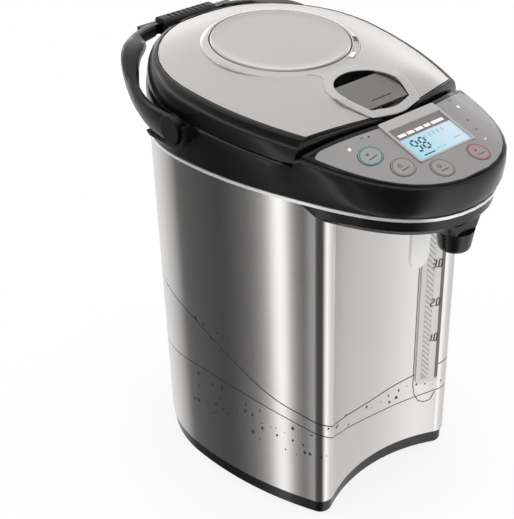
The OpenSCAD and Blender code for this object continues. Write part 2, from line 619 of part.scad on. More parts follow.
bowl_z = body_top - bowl_h;
cone_z = bowl_z - 6;
beak_floor = bowl_z + 3;
module beak_underside() color(black) difference() {
    union() {
        skin([at_z(head_plan(9, front_tip), bowl_z), at_z(head_plan(4, front_tip), bowl_z + 1.4),
            at_z(head_plan(1.4, front_tip), bowl_z + 5),
            at_z(head_plan(0.5, front_tip), body_top - seat)], [0, -30, body_top - seat]);
        // fairing that carries the nozzle
        intersection() {
            translate([0, -nozzle_y, cone_z])
                cylinder(r1 = nozzle_r + 2, r2 = nozzle_r + 7, h = 10, $fn = small);
            linear_extrude(bowl_z + 4) polygon(head_plan(4, front_tip));
        }
    }
    // room for the body and its front
    translate([0, 0, bowl_z - 1]) linear_extrude(bowl_h + 2) body_plan(-gap);
    translate([-1.5 * body_r, -pillar_y + 8, body_top - 40]) cube([3 * body_r, 3 * body_r, 60]);
    // hollow above the floor, round the two ears of the cup lever's pin
    difference() {
        translate([0, 0, beak_floor]) linear_extrude(bowl_h) polygon(head_plan(5, front_tip));
        translate([0, 0, body_top - 40]) linear_extrude(80) body_plan(-3);
        for (x = [-12.5, 12.5]) translate([x - 2, -lever_y - 4, beak_floor - 1])
            cube([4, 8, lever_pz + 4 - beak_floor]);
    }
    // spout tube, and slot of the cup lever
    translate([0, -nozzle_y, body_top - 60]) cylinder(r = spout_r + spout_t + seat, h = 80, $fn = small);
    translate([-lever_w / 2 - 0.8, -lever_y - 3.5, body_top - 30]) cube([lever_w + 1.6, 16, 40]);
    // seats of the cup lever's pin
    translate([0, -lever_y, lever_pz]) rod(axle_r + run, 40);
}

/* control head */
module head_top() color(black) difference() {
    union() {
        slab(panel_grid(house_t + seat, split_r + 2.3, -0.15),
            panel_grid(house_t + seat, split_r + 2.3, -overlay_t - 2.6));
        // rear wall that closes the beak towards the lid
        intersection() {
            slab(panel_grid(house_t + 0.8, split_r + 2.3, -1), panel_grid(house_t + 0.8, split_r + 2.3, -30));
            head() translate([0, split_c, rim_h - 4]) cylinder(r = split_r + 4.3, h = 60, $fn = 2 * fine);
        }
    }
    slab(panel_grid(house_t + 1.1, split_r + 4.9, 3),
        panel_grid(house_t + 1.1, split_r + 4.9, -overlay_t - 0.15));
    lcd_window(seat, -12);
    lcd_seat(2 * seat, -bezel_t - seat);
    for (k = key_at) on_panel(k) {
        translate([0, 0, -12]) cylinder(r = 3.4, h = 14, $fn = small);
        translate([0, 0, -overlay_t - 1.6]) cylinder(r = key_r + gap, h = 5, $fn = small);
    }
}

// the panel's two rear corners are rounded
tip_r = 4;
module panel_tips() for (s = [0, 1]) mirror([s, 0, 0]) {
    tip = nose(house_t + 1.3, beak_tip, nose_hit(house_t + 1.3, split_r + 5.1));
    head() translate([tip[0], tip[1], -20]) linear_extrude(60) difference() {
        polygon([[-3, 4], [7.2, -1.1], [4.7, -6.6], [-1.3, -7.2]]);
        translate([4.7, -6.6]) circle(r = tip_r, $fn = small);
    }
}
module control_panel() color(grey) difference() {
    slab(panel_grid(house_t + 1.3, split_r + 5.1, 0), panel_grid(house_t + 1.3, split_r + 5.1, -overlay_t));
    panel_tips();
    lcd_seat(2 * seat, -10);
    for (k = key_at) on_panel(k) translate([0, 0, -6]) cylinder(r = key_r + gap, h = 12, $fn = small);
}

// places on the panel: [x, y] in the head's frame
key_at = [for (k = [[-48.5, -146], [-38.5, -166], [-17, -180.5], [17.5, -181]]) k * body_r / 100];
function lean(x, y) = let(e = 0.5, w = nose_w(y), w2 = nose_w(y - e))
    [(panel_z(x + e, y, w) - panel_z(x - e, y, w)) / (2 * e), (panel_z(x, y, w) - panel_z(x, y - e, w2)) / e];
module on_panel(k) {
    g = lean(k[0], k[1]);
    head() translate([k[0], k[1], panel_z(k[0], k[1], nose_w(k[1]))])
        rotate([atan(g[1]), -atan(g[0]), 0]) children();
}

lcd_a = atan(crown_slope) + 0.6;
lcd_h = panel_z(0, lcd_y, 70);
bezel_t = 2.2;
bezel_up = 0.35;
module lcd_place() head() translate([0, lcd_y, lcd_h]) rotate([lcd_a, 0, 0]) children();
module lcd_seat(grow, z) lcd_place() translate([-lcd_w / 2, -lcd_d / 2, z] - grow / 2 * [1, 1, 0])
    cube([lcd_w + grow, lcd_d + grow, 20]);
module lcd_window(grow, z) lcd_place() translate([-lcd_w / 2 + 2, -lcd_d / 2 + 1.5, z] - grow / 2 * [1, 1, 0])
    cube([lcd_w - 4 + grow, lcd_d - 10 + grow, 20]);

module lcd_bezel() color(white) difference() {
    lcd_place() translate([-lcd_w / 2, -lcd_d / 2, -bezel_t]) linear_extrude(bezel_t + bezel_up)
        rounded_plan(lcd_w, lcd_d, 1.5);
    lcd_window(0, -10);
}

module lcd_module() color([0.45, 0.75, 0.95]) lcd_place() {
    translate([-lcd_w / 2 + 2, -lcd_d / 2 + 1.5, -6] + seat * [1, 1, 0])
        cube([lcd_w - 4 - 2 * seat, lcd_d - 10 - 2 * seat, 5.5]);
    translate([-lcd_w / 2, -lcd_d / 2, -7]) cube([lcd_w, lcd_d - 6, 1.5]);
}

board_h = -1.5;
module control_board() color([0.1, 0.35, 0.2]) {
    intersection() {
        head() translate([-52, lcd_y - 36.5, board_h - 1.6]) cube([104, 52, 1.6]);
        linear_extrude(2 * body_top) polygon(head_plan(house_t + 2));
    }
    for (k = key_at) intersection() {
        on_panel(k) translate([-3, -3, -60]) cube([6, 6, 60 - key_h - key_travel - gap]);
        head() translate([-70, lcd_y - 50, board_h - 0.1]) cube([140, 90, 60]);
    }
    // pillars that carry the board on the floor of the beak
    intersection() {
        for (p = [[-40, 11.5], [18, -0.5], [-22, -18.5]]) translate([p[0], lcd_y + p[1], beak_floor + seat])
            cylinder(r = 3, h = 60, $fn = small);
        head() translate([-70, lcd_y - 50, -80]) cube([140, 90, 80 + board_h - 1.5]);
    }
}

key_h = 9;
module key(k) color(grey) on_panel(k) {
    translate([0, 0, -overlay_t]) cylinder(r = key_r, h = overlay_t + 0.25, $fn = small);
    translate([0, 0, -key_h]) cylinder(r = 3, h = key_h, $fn = small);
}
module key_left_rear() key(key_at[0]);
module key_left_front() key(key_at[1]);
module key_front_left() key(key_at[2]);
module key_front_right() key(key_at[3]);

/* spout */
spout_t = 1.6;
shroud_in = spout_r + spout_t + 0.1;
module nozzle_shroud() color(black) translate([0, -nozzle_y, 0]) rotate_extrude($fn = small) polygon([
    [shroud_in, nozzle_z + 3], [nozzle_r - 2.5, nozzle_z + 3], [nozzle_r - 2, nozzle_z],
    [nozzle_r - 0.8, nozzle_z], [nozzle_r, nozzle_z + 1.5], [nozzle_r + 2, cone_z - seat],
    [shroud_in, cone_z - seat]]);

module spout_tube() color([0.85, 0.85, 0.82]) translate([0, -nozzle_y, 0]) difference() {
    translate([0, 0, nozzle_z + 1])
        cylinder(r = spout_r + spout_t, h = spout_top - nozzle_z - 1, $fn = small);
    translate([0, 0, nozzle_z]) cylinder(r = spout_r, h = spout_top - nozzle_z + 2, $fn = small);
}

lever_t = 2.6;
hub_w = 11;
lever_pz = body_top - 8;
module cup_lever() color([0.93, 0.93, 0.9, 0.6]) translate([0, -lever_y, 0]) difference() {
    union() {
        rotate([90, 0, 0]) translate([-lever_w / 2, lever_z, -lever_t / 2]) linear_extrude(lever_t) {
            translate([0, lever_w / 2]) square([lever_w, lever_pz - 4.4 - lever_z - lever_w / 2]);
            translate([lever_w / 2, lever_w / 2]) circle(r = lever_w / 2, $fn = small);
            translate([(lever_w - hub_w) / 2, lever_w]) square([hub_w, lever_pz - lever_z - lever_w]);
        }
        translate([0, 0, lever_pz]) rod(3.2, hub_w);
        translate([-3, -1.2, lever_pz + 2]) cube([6, 2.4, 10]);
    }
    translate([0, 0, lever_pz]) rod(axle_r + run, lever_w + 2);
}

module cup_lever_pin() color(bright) translate([0, -lever_y, lever_pz]) rod(axle_r, 29);

module cup_switch() color([0.15, 0.15, 0.16]) {
    translate([-7, -lever_y - 13, beak_floor + seat]) cube([14, 7, bowl_h + 6]);
    translate([-1.5, -lever_y - 6.1, lever_pz + 7]) cube([3, 2.4, 3]);
}

// torsion spring: coil round the pin and a short leg
coil_r = 1.95;
module cup_lever_spring() color(bright) translate([hub_w / 2 + 0.8, -lever_y, lever_pz]) rotate([0, 90, 0]) {
    sweep(helix(coil_r, 3.2, 4), 0.35, 6);
    translate([coil_r, 0, 0.35]) rotate([-90, 0, 0]) cylinder(r = 0.35, h = 6, $fn = 24);
}

/* lid */
front_k = 0.47;         // the band is that much narrower in front
function band(d, f, dz) = [for (p = lid_plan(d, front_r + 0.6 - front_k * d))
    to_world([p[0], p[1], 0.3 + (lid_edge(p) - 0.3) * f + dz])];
function lid_edge(p) = p[1] < -0.98 * body_r ? max(edge_h - 2.5, lid_z(p[0] * 0.98, p[1])) : edge_h;
front_r = split_r - lid_gap;
module lid_frame() color(black) difference() {
    union() {
        difference() {
            skin([band(0.8, 0, 0), band(0.8, 0.25, 0), band(1.4, 0.52, 0), band(3, 0.76, 0),
                band(5.4, 0.93, 0), band(7.6, 1, -0.2), band(band_w - 0.4, 1, -0.35),
                band(band_w - 0.2, 1, -1.5)], to_world([0, -20, edge_h]));
            // hollow of the tray, open above
            head() difference() {
                translate([0, 0, 3]) linear_extrude(40) polygon(lid_plan(band_w + 3, plate_front - 4));
                translate([0, 0, 2]) cylinder(r = well_r + 2, h = 40, $fn = fine);
                translate([-24.5, -latch_y - 8.2, 2]) cube([49, 64, 40]);
                for (p = boss_at) at(p, 2) cylinder(r = 4, h = 40, $fn = small);
            }
        }
        // knuckle of the hinge
        head() translate([0, hinge_y, hinge_h]) rod(knuckle_r, 49);
        head() translate([-24.5, hinge_y - 10, 1.2]) cube([49, 10, 9]);
    }
    // the rear is cut away round the hinge ears
    for (x = [-37, 24.5]) head() translate([x, hinge_y - 5.6, -2]) cube([12.5, 30, 60]);
    head() translate([-25, hinge_y + 1, hinge_h + 4.2]) cube([50, 30, 60]);
    head() difference() {
        translate([-25, hinge_y, -1]) cube([50, 20, 20]);
        translate([0, hinge_y, hinge_h]) rod(knuckle_r, 52);
    }
    head() translate([0, hinge_y, hinge_h]) rod(lpin_r + run, 80);
    // well of the air pump, its spring seat and its air hole
    head() translate([0, 0, well_z]) cylinder(r = well_r, h = 60, $fn = fine);
    head() translate([0, 0, -2]) cylinder(r = 3, h = 10, $fn = small);
    // pocket of the finger well, and slot of the latch hook
    head() translate([-22.6, -latch_y - 6.4, 3]) cube([45.2, 60, 60]);
    head() translate([-7, -latch_y - 8.7, -2]) cube([14, 25, 8]);
    head() translate([0, 0, 20 - seat]) linear_extrude(60) bezel_plan(-seat);
}
well_r = press_r + 0.7;
well_z = 2.5;
boss_at = [for (p = [[-72, 30], [72, 30], [-74, -40], [74, -40], [-58, -98], [58, -98]]) p * body_r / 100];

// outline of the latch bezel, set in by d all round; its front is flat with two tight corners
bezel_front = 1.215 * body_r;
module bezel_plan(d) {
    r = max(1.2, 4 - d);
    inset = d + r - 4;
    hull() {
        translate([0, -bezel_y]) circle(r = bezel_r - d, $fn = small);
        for (s = [-1, 1]) translate([s * (20.5 - 0.75 * inset), 4 - bezel_front + inset])
            circle(r = r, $fn = 24);
    }
}
// neck between ring and bezel, with hollow flanks
module neck_plan(g) difference() {
    translate([-22 - g, -bezel_y + 26]) square([44 + 2 * g, 14]);
    for (s = [-1, 1]) translate([s * 26.5, -bezel_y + 30.5]) circle(r = 9.5 - g, $fn = small);
}
plate_front = front_r - front_k * band_w;
module lid_plate() color(steel) difference() {
    slab(lid_grid(band_w, plate_front, 0), lid_grid(band_w, plate_front, -plate_t));
    head() linear_extrude(60) {
        circle(r = press_r + ring_w + seat, $fn = fine);
        bezel_plan(-seat);
        neck_plan(seat);
        translate([-37.5, hinge_y - 5.7]) square([75, 20]);
    }
}

ring_top = 29.4;
bezel_w = 6.5;
lip_z = 23.2;           // underside of the bezel's inner lip
module lid_trim() color(bright) head() difference() {
    union() {
        rotate_extrude($fn = fine) polygon([[press_r + 0.7, 22], [press_r + ring_w, 22],
            [press_r + ring_w, ring_top - 2.2], [press_r + ring_w - 0.8, ring_top - 1.4],
            [press_r + 3.4, ring_top - 0.3], [press_r + 2.6, ring_top], [press_r + 1.2, ring_top],
            [press_r + 0.7, ring_top - 0.5]]);
        translate([0, 0, 20]) linear_extrude(ring_top - 20) difference() {
            bezel_plan(0);
            bezel_plan(3.6);
        }
        translate([0, 0, lip_z]) linear_extrude(ring_top - lip_z) difference() {
            bezel_plan(2);
            bezel_plan(bezel_w);
        }
        translate([0, 0, 24]) linear_extrude(ring_top - 24.3) difference() {
            neck_plan(0);
            bezel_plan(3);
            circle(r = press_r + 1, $fn = fine);
        }
    }
    // the bezel rolls down to the front with the plate
    translate([-50, -bezel_y - 1, ring_top]) rotate([11.3, 0, 0]) translate([0, -60, 0]) cube([100, 60, 30]);
    // curved slot of the lock slider
    translate([0, 0, ring_top - 3]) rotate([0, 0, -68]) rotate_extrude(angle = 38, $fn = fine)
        translate([press_r + 2, 0]) square([ring_w - 3, 6]);
}

well_floor = 12;
module latch_well() color([0.1, 0.1, 0.11]) head() difference() {
    union() {
        intersection() {
            translate([0, 0, 3 + seat]) linear_extrude(20) bezel_plan(3.6 + seat);
            translate([-22.5, -latch_y - 6.3, 0]) cube([45, 59, 40]);
        }
        intersection() {
            translate([0, 0, 20]) linear_extrude(lip_z - seat - 20) bezel_plan(3.6 + seat);
            translate([-40, -bezel_y + 6, 0]) cube([80, 40, 60]);
        }
    }
    // finger room with a ribbed rear wall
    difference() {
        translate([-19, -latch_y - 2.1, well_floor]) cube([38, 47.5, 30]);
        for (x = [-17 : 3.4 : 17.1]) translate([x - 0.6, -latch_y + 42.6, well_floor - 1]) cube([1.2, 3, 11]);
    }
    translate([0, 0, well_floor + 4]) linear_extrude(30) intersection() {
        bezel_plan(5.6);
        translate([-40, -bezel_y + 6]) square([80, 40]);
    }
    translate([-7.5, -latch_y - 3.7, -1]) cube([15, 21, 40]);
    // seats of the pin, open upwards and closed by the bezel
    translate([0, -latch_y, latch_h]) rod(axle_r + run, 50);
    translate([-25, -latch_y - axle_r - 0.03, latch_h]) cube([50, 2 * axle_r + 0.06, 10]);
    translate([-19, -latch_y - 3.7, latch_h - 5]) cube([38, 10, 30]);
}

latch_h = 21.5;
latch_slope = 4;
hub_at = [-17, 7.5];
module plate_place() translate([0, -latch_y, latch_h + 4.2]) rotate([latch_slope, 0, 0]) children();
module latch_lever() color([0.62, 0.6, 0.6]) head() difference() {
    union() {
        intersection() {
            plate_place() translate([-30, -4, -1.8]) cube([60, 35, 1.8]);
            linear_extrude(60) bezel_plan(bezel_w + 0.8);
            translate([-40, -latch_y - 2.6, 0]) cube([80, 60, 60]);
        }
        for (x = hub_at) translate([x, -latch_y, latch_h]) rotate([0, 90, 0])
            cylinder(r = 2.6, h = 9.5, $fn = small);
        for (x = hub_at) translate([x, -latch_y, latch_h]) cube([9.5, 6, 3.4]);
        // hook that reaches down to the housing's deck
        translate([-5, -latch_y - 1.6, -3.6]) cube([10, 3.4, latch_h + 6.6]);
        translate([-5, -latch_y - 6.6, -3.6]) cube([10, 6, 3]);
        translate([-8, -latch_y + 0.6, latch_h + 0.4]) cube([12.5, 5, 3]);
    }
    translate([0, -latch_y, latch_h]) rod(axle_r + run, 60);
    // grip line pressed in the plate
    plate_place() translate([-9, 4, -0.5]) cube([18, 1.4, 1.4]);
}
module latch_pin() color(bright) head() translate([0, -latch_y, latch_h]) rod(axle_r, 44);
module latch_spring() color(bright) head() translate([5.4, -latch_y, latch_h]) rotate([0, 90, 0])
    sweep(helix(coil_r, 1.5, 2), 0.3, 6);

press_top = 30;
press_t = 2.2;
module press_plate() color(steel) head() translate([0, 0, press_top]) rotate_extrude($fn = fine) polygon([
    [0, -press_t], [press_r - 3.4, -press_t], [press_r - 3.4, -9], [press_r - 2, -9], [press_r - 2, -2.6],
    [press_r - 0.4, -2], [press_r, -0.9], [press_r - 0.9, 0], [press_r - 2.4, -0.1], [press_r - 4, -0.5],
    [0, -0.7]]);

pleats = 5;
pleat_r = [30, 42];
pleat_t = 2;
bellows_h = press_top - press_t - well_z - 2 * seat;
module bellows() color([0.2, 0.2, 0.2]) head() translate([0, 0, well_z + seat]) rotate_extrude($fn = 64)
    polygon(concat(
        [for (i = [0 : 2 * pleats]) [pleat_r[i % 2], bellows_h * i / (2 * pleats)]],
        [for (i = [2 * pleats : -1 : 0]) [pleat_r[i % 2] - pleat_t, bellows_h * i / (2 * pleats)]]));

wire_r = 0.9;
module press_spring() color(bright) head() translate([0, 0, well_z + seat + wire_r])
    sweep(helix(20, bellows_h - 2 * wire_r, 5), wire_r, 6);

module lock_slider() color(white) head() rotate([0, 0, -68]) rotate_extrude(angle = 8, $fn = fine)
    translate([press_r + 2.3, ring_top - 2.7]) square([ring_w - 3.6, 3]);

valve_at = [0, -44];
valve_r = 6;
module lid_plug() color([0.25, 0.25, 0.26]) difference() {
    translate([0, 0, inner_z + 1.2]) cylinder(r = plug_r, h = 60, $fn = fine);
    head() translate([0, 0, 50 + 0.3 - seat]) cube([400, 400, 100], center = true);
    translate([0, 0, inner_z]) cylinder(r = 4, h = 60, $fn = small);
    difference() {
        translate([0, 0, inner_z + 3]) cylinder(r = plug_r - 2.4, h = 60, $fn = fine);
        translate([0, 0, inner_z]) cylinder(r = 8, h = 60, $fn = small);
        for (a = [30 : 60 : 330]) rotate(a) translate([0, -1, 0]) cube([plug_r, 2, 2 * body_top]);
        at(valve_at, inner_z) cylinder(r = valve_r + 3, h = 60, $fn = small);
    }
    at(valve_at, inner_z) cylinder(r = valve_r + seat, h = 60, $fn = small);
}
inner_z = pot_top + 3.4;
module inner_lid() color(bright) difference() {
    rotate_extrude($fn = fine) polygon([[0, inner_z - 2.6], [plug_r - 16, inner_z - 2.6],
        [plug_r - 11, inner_z], [plug_r - 0.5, inner_z], [plug_r - 0.5, inner_z + 1.2 - seat],
        [0, inner_z + 1.2 - seat]]);
    at(valve_at, inner_z - 5) cylinder(r = valve_r + seat, h = 20, $fn = small);
    for (a = [0 : 60 : 300]) rotate(a) translate([12, 0, inner_z - 5]) cylinder(r = 1.2, h = 20, $fn = small);
}
module lid_gasket() color([0.85, 0.85, 0.83]) rotate_extrude($fn = fine) polygon([
    [plug_r - 0.5 + seat, inner_z + 0.4], [plug_r - 0.5 + seat, inner_z - 1], [pot_r + 1, pot_top + gap],
    [pot_r + 2.5, pot_top + gap], [pot_r + 2.4, inner_z - 0.8], [plug_r + 2, inner_z + 2.4],
    [plug_r + seat, inner_z + 2.4], [plug_r + seat, inner_z + 0.4]]);
module steam_valve() color([0.85, 0.85, 0.83]) at(valve_at, inner_z - 4) {
    cylinder(r = valve_r, h = 12, $fn = small);
    translate([0, 0, -1]) cylinder(r = 3, h = 1.1, $fn = small);
}
module lid_hinge_pin() color(bright) head() translate([0, hinge_y, hinge_h]) rod(lpin_r, 72);

/* handle */
hpin_x = mouth_r + 2.5;
module handle_pins() color(bright) for (s = [0, 1]) mirror([s, 0, 0])
    translate([hpin_x, -pivot_y, pivot_z]) rotate([0, 90, 0]) {
        cylinder(r = hpin_r, h = bail_x + 1.5 - hpin_x, $fn = small);
        cylinder(r = hpin_r + 0.5, h = 1.45, $fn = small);
    }
function bail_at(f) = [bail_x * pow(cos(f), 0.75), -pivot_y + bail_l * pow(sin(f), 0.9),
    pivot_z + bail_rise * smooth((f - 8) / 42)];
bail_f = [2, 4, 7, 11, 15, 20, 25, 30, 35, 40, 46, 52, 58, 64, 70, 76];
function arm_ring(p, t, h, w) = let(u = unit([t[1], -t[0], 0]))
    [for (a = [0 : 30 : 330]) let(c = cos(a), s = sin(a))
        p + u * w * sign(c) * pow(abs(c), 0.6) + [0, 0, 1] * h * sign(s) * pow(abs(s), 0.6)];
// how far the arm is widened inwards where it passes the rear corners of the lid
function arm_in(f, w) = let(p = bail_at(f)) max(0, (norm([p[0], p[1]]) - w - body_r - 4.5) / 2)
    * smooth((f - 22) / 10) * (1 - smooth((f - 56) / 8));
module arm() {
    path = concat([bail_at(0) + [0, 0.5, 0]], [for (f = bail_f) bail_at(f)]);
    n = len(path);
    rings = [for (i = [0 : n - 1])
        let(f = i == 0 ? 0 : bail_f[i - 1], t = i == 0 ? [0, 1, 0] : ahead(path, i),
            w = 3.5 + 0.8 * smooth(f / 50), e = arm_in(f, w))
        arm_ring(path[i] - e * unit([t[1], -t[0], 0]), t, arm_r - 5.4 * smooth(f / 42), w + e)];
    polyhedron(points = [for (q = rings) for (p = q) p], convexity = 6,
        faces = concat([[for (j = [11 : -1 : 0]) j]], [[for (j = [0 : 11]) (n - 1) * 12 + j]],
            [for (i = [0 : n - 2]) for (j = [0 : 11]) let(k = (j + 1) % 12,
                a = i * 12 + j, b = i * 12 + k) each [[a, b, b + 12], [a, b + 12, a + 12]]]));
}
module handle() color(black) difference() {
    union() for (s = [0, 1]) mirror([s, 0, 0]) {
        arm();
        translate([bail_x, -pivot_y, pivot_z]) rod(arm_r, 7);
        // square bar through the grip
        grip_place() translate([-0.1, -bar_w / 2, -bar_w / 2]) cube([bail_at(71)[0], bar_w, bar_w]);
    }
    translate([0, -pivot_y, pivot_z]) rod(hpin_r + run, 2 * (bail_x + 1.5 + seat));
}
bar_w = 8;
grip_hh = 7;
module grip_place() translate([0, -pivot_y + bail_l, pivot_z + bail_rise]) children();
module handle_grip() color([0.12, 0.12, 0.12]) grip_place() difference() {
    translate([-grip_l / 2, 0, 0]) rotate([90, 0, 90]) linear_extrude(grip_l) difference() {
        translate([-grip_hh, -grip_hh]) rounded_plan(2 * grip_hh, 2 * grip_hh, 4);
        square(bar_w + 2 * seat, center = true);
    }
    for (x = [8 : 5 : grip_l - 8]) translate([x - grip_l / 2, -grip_hh - 1, grip_hh - 0.8])
        cube([2, 2 * grip_hh + 2, 2]);
}

outer_sleeve();
front_panel();
gauge_cover();
gauge_scale();
level_tube();
base_band();
bottom_cover();
rubber_feet();
bottom_screws();
inlet_socket();
inlet_pins();
inner_pot();
insulation();
heater_plate();
thermostats();
pump_body();
pump_motor();
pump_impeller();
pump_hose();
riser_hose();
power_board();
collar();
trim_ring();
beak_underside();
head_top();
control_panel();
lcd_bezel();
lcd_module();
control_board();
key_left_rear();
key_left_front();
key_front_left();
key_front_right();
nozzle_shroud();
spout_tube();
cup_lever();
cup_lever_pin();
cup_lever_spring();
cup_switch();
lid_frame();
lid_plate();
lid_trim();
latch_well();
latch_lever();
latch_pin();
latch_spring();
press_plate();
press_spring();
bellows();
lock_slider();
lid_plug();
inner_lid();
lid_gasket();
steam_valve();
lid_hinge_pin();
handle_pins();
handle();
handle_grip();
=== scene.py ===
# %% [markdown]
# # An electric thermo pot, dressed in Blender
# The solids of the pot come from its CAD model, already in metres and in their real places.
# This lesson leaves them where they are, gives each one the finish of the real piece, and adds
# The object's box is measured first, so that the last step can show nothing has grown.

import bmesh
import bpy
import json
import math
from mathutils import Matrix, Vector
from mathutils.bvhtree import BVHTree


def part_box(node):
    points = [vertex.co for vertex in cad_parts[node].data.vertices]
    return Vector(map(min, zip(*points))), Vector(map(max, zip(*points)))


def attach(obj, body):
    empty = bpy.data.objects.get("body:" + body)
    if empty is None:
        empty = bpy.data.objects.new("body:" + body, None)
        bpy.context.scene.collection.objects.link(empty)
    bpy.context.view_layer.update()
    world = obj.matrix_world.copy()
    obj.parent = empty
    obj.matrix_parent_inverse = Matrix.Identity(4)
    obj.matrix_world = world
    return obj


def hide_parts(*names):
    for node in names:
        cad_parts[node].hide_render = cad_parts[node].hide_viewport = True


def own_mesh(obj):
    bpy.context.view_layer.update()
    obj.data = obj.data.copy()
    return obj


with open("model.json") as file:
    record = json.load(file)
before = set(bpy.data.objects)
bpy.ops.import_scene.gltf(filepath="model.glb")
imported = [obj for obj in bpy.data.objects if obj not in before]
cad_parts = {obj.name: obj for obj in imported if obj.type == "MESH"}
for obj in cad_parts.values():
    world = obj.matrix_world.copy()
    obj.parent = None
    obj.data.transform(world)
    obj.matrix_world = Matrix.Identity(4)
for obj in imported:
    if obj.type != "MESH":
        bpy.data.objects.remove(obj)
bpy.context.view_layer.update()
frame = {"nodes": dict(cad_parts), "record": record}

# %% [markdown]
# ## The camera
# A pot this size is well seen from about a metre away through a moderately long lens, so that
# near and far parts keep nearly the same scale. The camera stands to the left of the front,
# above the lid, and leans a little. Its axes could be typed as a matrix. They are worked out
# from azimuth, elevation and roll instead, which is easier to correct later.

# %% Camera
MM = 0.001
CAMERA_AT = Vector((-518.5, -608.7, 655.4)) * MM
AZIMUTH, ELEVATION, ROLL = (math.radians(a) for a in (-38.92, 32.0, -1.85))
SENSOR, FOCAL_LENGTH = 36, 78.586

flat = math.cos(ELEVATION)
back = Vector((math.sin(AZIMUTH) * flat, -math.cos(AZIMUTH) * flat, math.sin(ELEVATION)))
right = Vector((math.cos(AZIMUTH), math.sin(AZIMUTH), 0))
above = back.cross(right)
right_rolled = right * math.cos(ROLL) + above * math.sin(ROLL)
above_rolled = above * math.cos(ROLL) - right * math.sin(ROLL)

lens = bpy.data.cameras.new("product_camera")
lens.sensor_width = SENSOR
lens.lens = FOCAL_LENGTH
camera = bpy.data.objects.new("product_camera", lens)
bpy.context.scene.collection.objects.link(camera)
turn = Matrix((right_rolled, above_rolled, back)).transposed()
camera.matrix_world = Matrix.Translation(CAMERA_AT) @ turn.to_4x4()
bpy.context.scene.camera = camera
print("camera", [round(c, 3) for c in CAMERA_AT], "lens", lens.lens)

# %% [markdown]
# ## Shader maths in Python
# A finish is a small sum: noise times a strength, plus a mask, minus another. Built node by node
# it fills a page. `Val` wraps one output of a node and adds Math nodes when it meets +, -, * and
# the rest, also where a plain number stands on the left, so the sum reads as a sum.

# %% Val: a socket that can be added and multiplied
class Val:
    def __init__(self, graph, socket):
        self.graph = graph
        self.socket = socket

    def math(self, operation, *others):
        sockets = {f"_{place}": value for place, value in enumerate((self, *others))}
        return self.graph.node("ShaderNodeMath", {"operation": operation}, **sockets)

    def flipped(self, operation, left):
        return self.graph.node("ShaderNodeMath", {"operation": operation}, _0=left, _1=self)

    def __add__(self, other):
        return self.math("ADD", other)

    def __sub__(self, other):
        return self.math("SUBTRACT", other)

    def __mul__(self, other):
        return self.math("MULTIPLY", other)

    def __truediv__(self, other):
        return self.math("DIVIDE", other)

    def __gt__(self, other):
        return self.math("GREATER_THAN", other)

    def __lt__(self, other):
        return self.math("LESS_THAN", other)

    def __abs__(self):
        return self.math("ABSOLUTE")

    def __rsub__(self, left):
        return self.flipped("SUBTRACT", left)

    def __rtruediv__(self, left):
        return self.flipped("DIVIDE", left)

    __radd__ = __add__
    __rmul__ = __mul__

    def either(self, other):
        return self.math("MAXIMUM", other)

    def step(self, low, high):
        """0 below low, 1 above high, smooth between; low may be the larger one."""
        return self.graph.node("ShaderNodeMapRange", {"interpolation_type": "SMOOTHSTEP"},
                               Value=self, From_Min=low, From_Max=high)


print("Val ready")

# %% [markdown]
# ## One way to add a node
# `Graph` holds a node tree, of a material, of the world or of a modifier. Its `node` is the one
# way in which a node is made: its type, then its settings, then the values or links of its
# sockets. A socket that has only a number is written with a leading underscore. A ramp's stops
# and a curve's course are settings too, and two small functions fill them in.

# %% Graph: a node tree and the one method that adds to it
class Graph:
    def __init__(self, tree):
        self.tree = tree

    def plug(self, socket, value):
        """Links a Val, or writes a number or a colour into the socket."""
        if isinstance(value, Val):
            self.tree.links.new(value.socket, socket)
        elif isinstance(value, tuple) and len(value) == 3 and len(socket.default_value) == 4:
            socket.default_value = (*value, 1)
        else:
            socket.default_value = value

    def node(self, kind, settings=None, out=0, **sockets):
        made = self.tree.nodes.new(kind)
        for name, value in (settings or {}).items():
            if name == "stops":
                fill_ramp(made.color_ramp, value)
            elif name == "course":
                fill_curve(made.mapping, value)
            else:
                setattr(made, name, value)
        for name, value in sockets.items():
            place = int(name[1:]) if name[0] == "_" else name.replace("_", " ")
            self.plug(made.inputs[place], value)
        if out is None:
            return tuple(Val(self, o) for o in made.outputs)
        return Val(self, made.outputs[out]) if len(made.outputs) else None

    def mix(self, amount, first, second):
        return self.node("ShaderNodeMix", {"data_type": "RGBA"}, out=2,
                         _0=amount, _6=first, _7=second)

    def noise(self, where, scale=5.0, detail=3.0, rough=0.55):
        return self.node("ShaderNodeTexNoise", Vector=where, Scale=scale, Detail=detail,
                         Roughness=rough)

    def stretched(self, where, x, y, z):
        return self.node("ShaderNodeMapping", Vector=where, Scale=(x, y, z))

    def rays(self):
        """What kind of ray is asking, by name."""
        return {val.socket.name: val for val in self.node("ShaderNodeLightPath", out=None)}


def fill_ramp(ramp, stops):
    while len(ramp.elements) > 1:
        ramp.elements.remove(ramp.elements[-1])
    ramp.elements[0].position, ramp.elements[0].color = stops[0][0], (*stops[0][1], 1)
    for position, colour in stops[1:]:
        ramp.elements.new(position).color = (*colour, 1)


def fill_curve(mapping, course):
    points = mapping.curves[0].points
    points[0].location, points[1].location = course[0], course[-1]
    for place in course[1:-1]:
        points.new(*place)
    mapping.update()


def grey(value):
    return (value, value, value)


def shade(colour, factor):
    return tuple(min(1, c * factor) for c in colour)


print("Graph ready")

# %% [markdown]
# ## A material under construction
# `Finish` is a graph that starts with a new material and its Principled shader. It knows the
# three things that every finish here asks for: to set a socket of the shader, to get the place
# on the pot, and to raise a relief. The relief can also round sharp corners to the eye, as every
# real edge is rounded, without a bevel in the mesh.

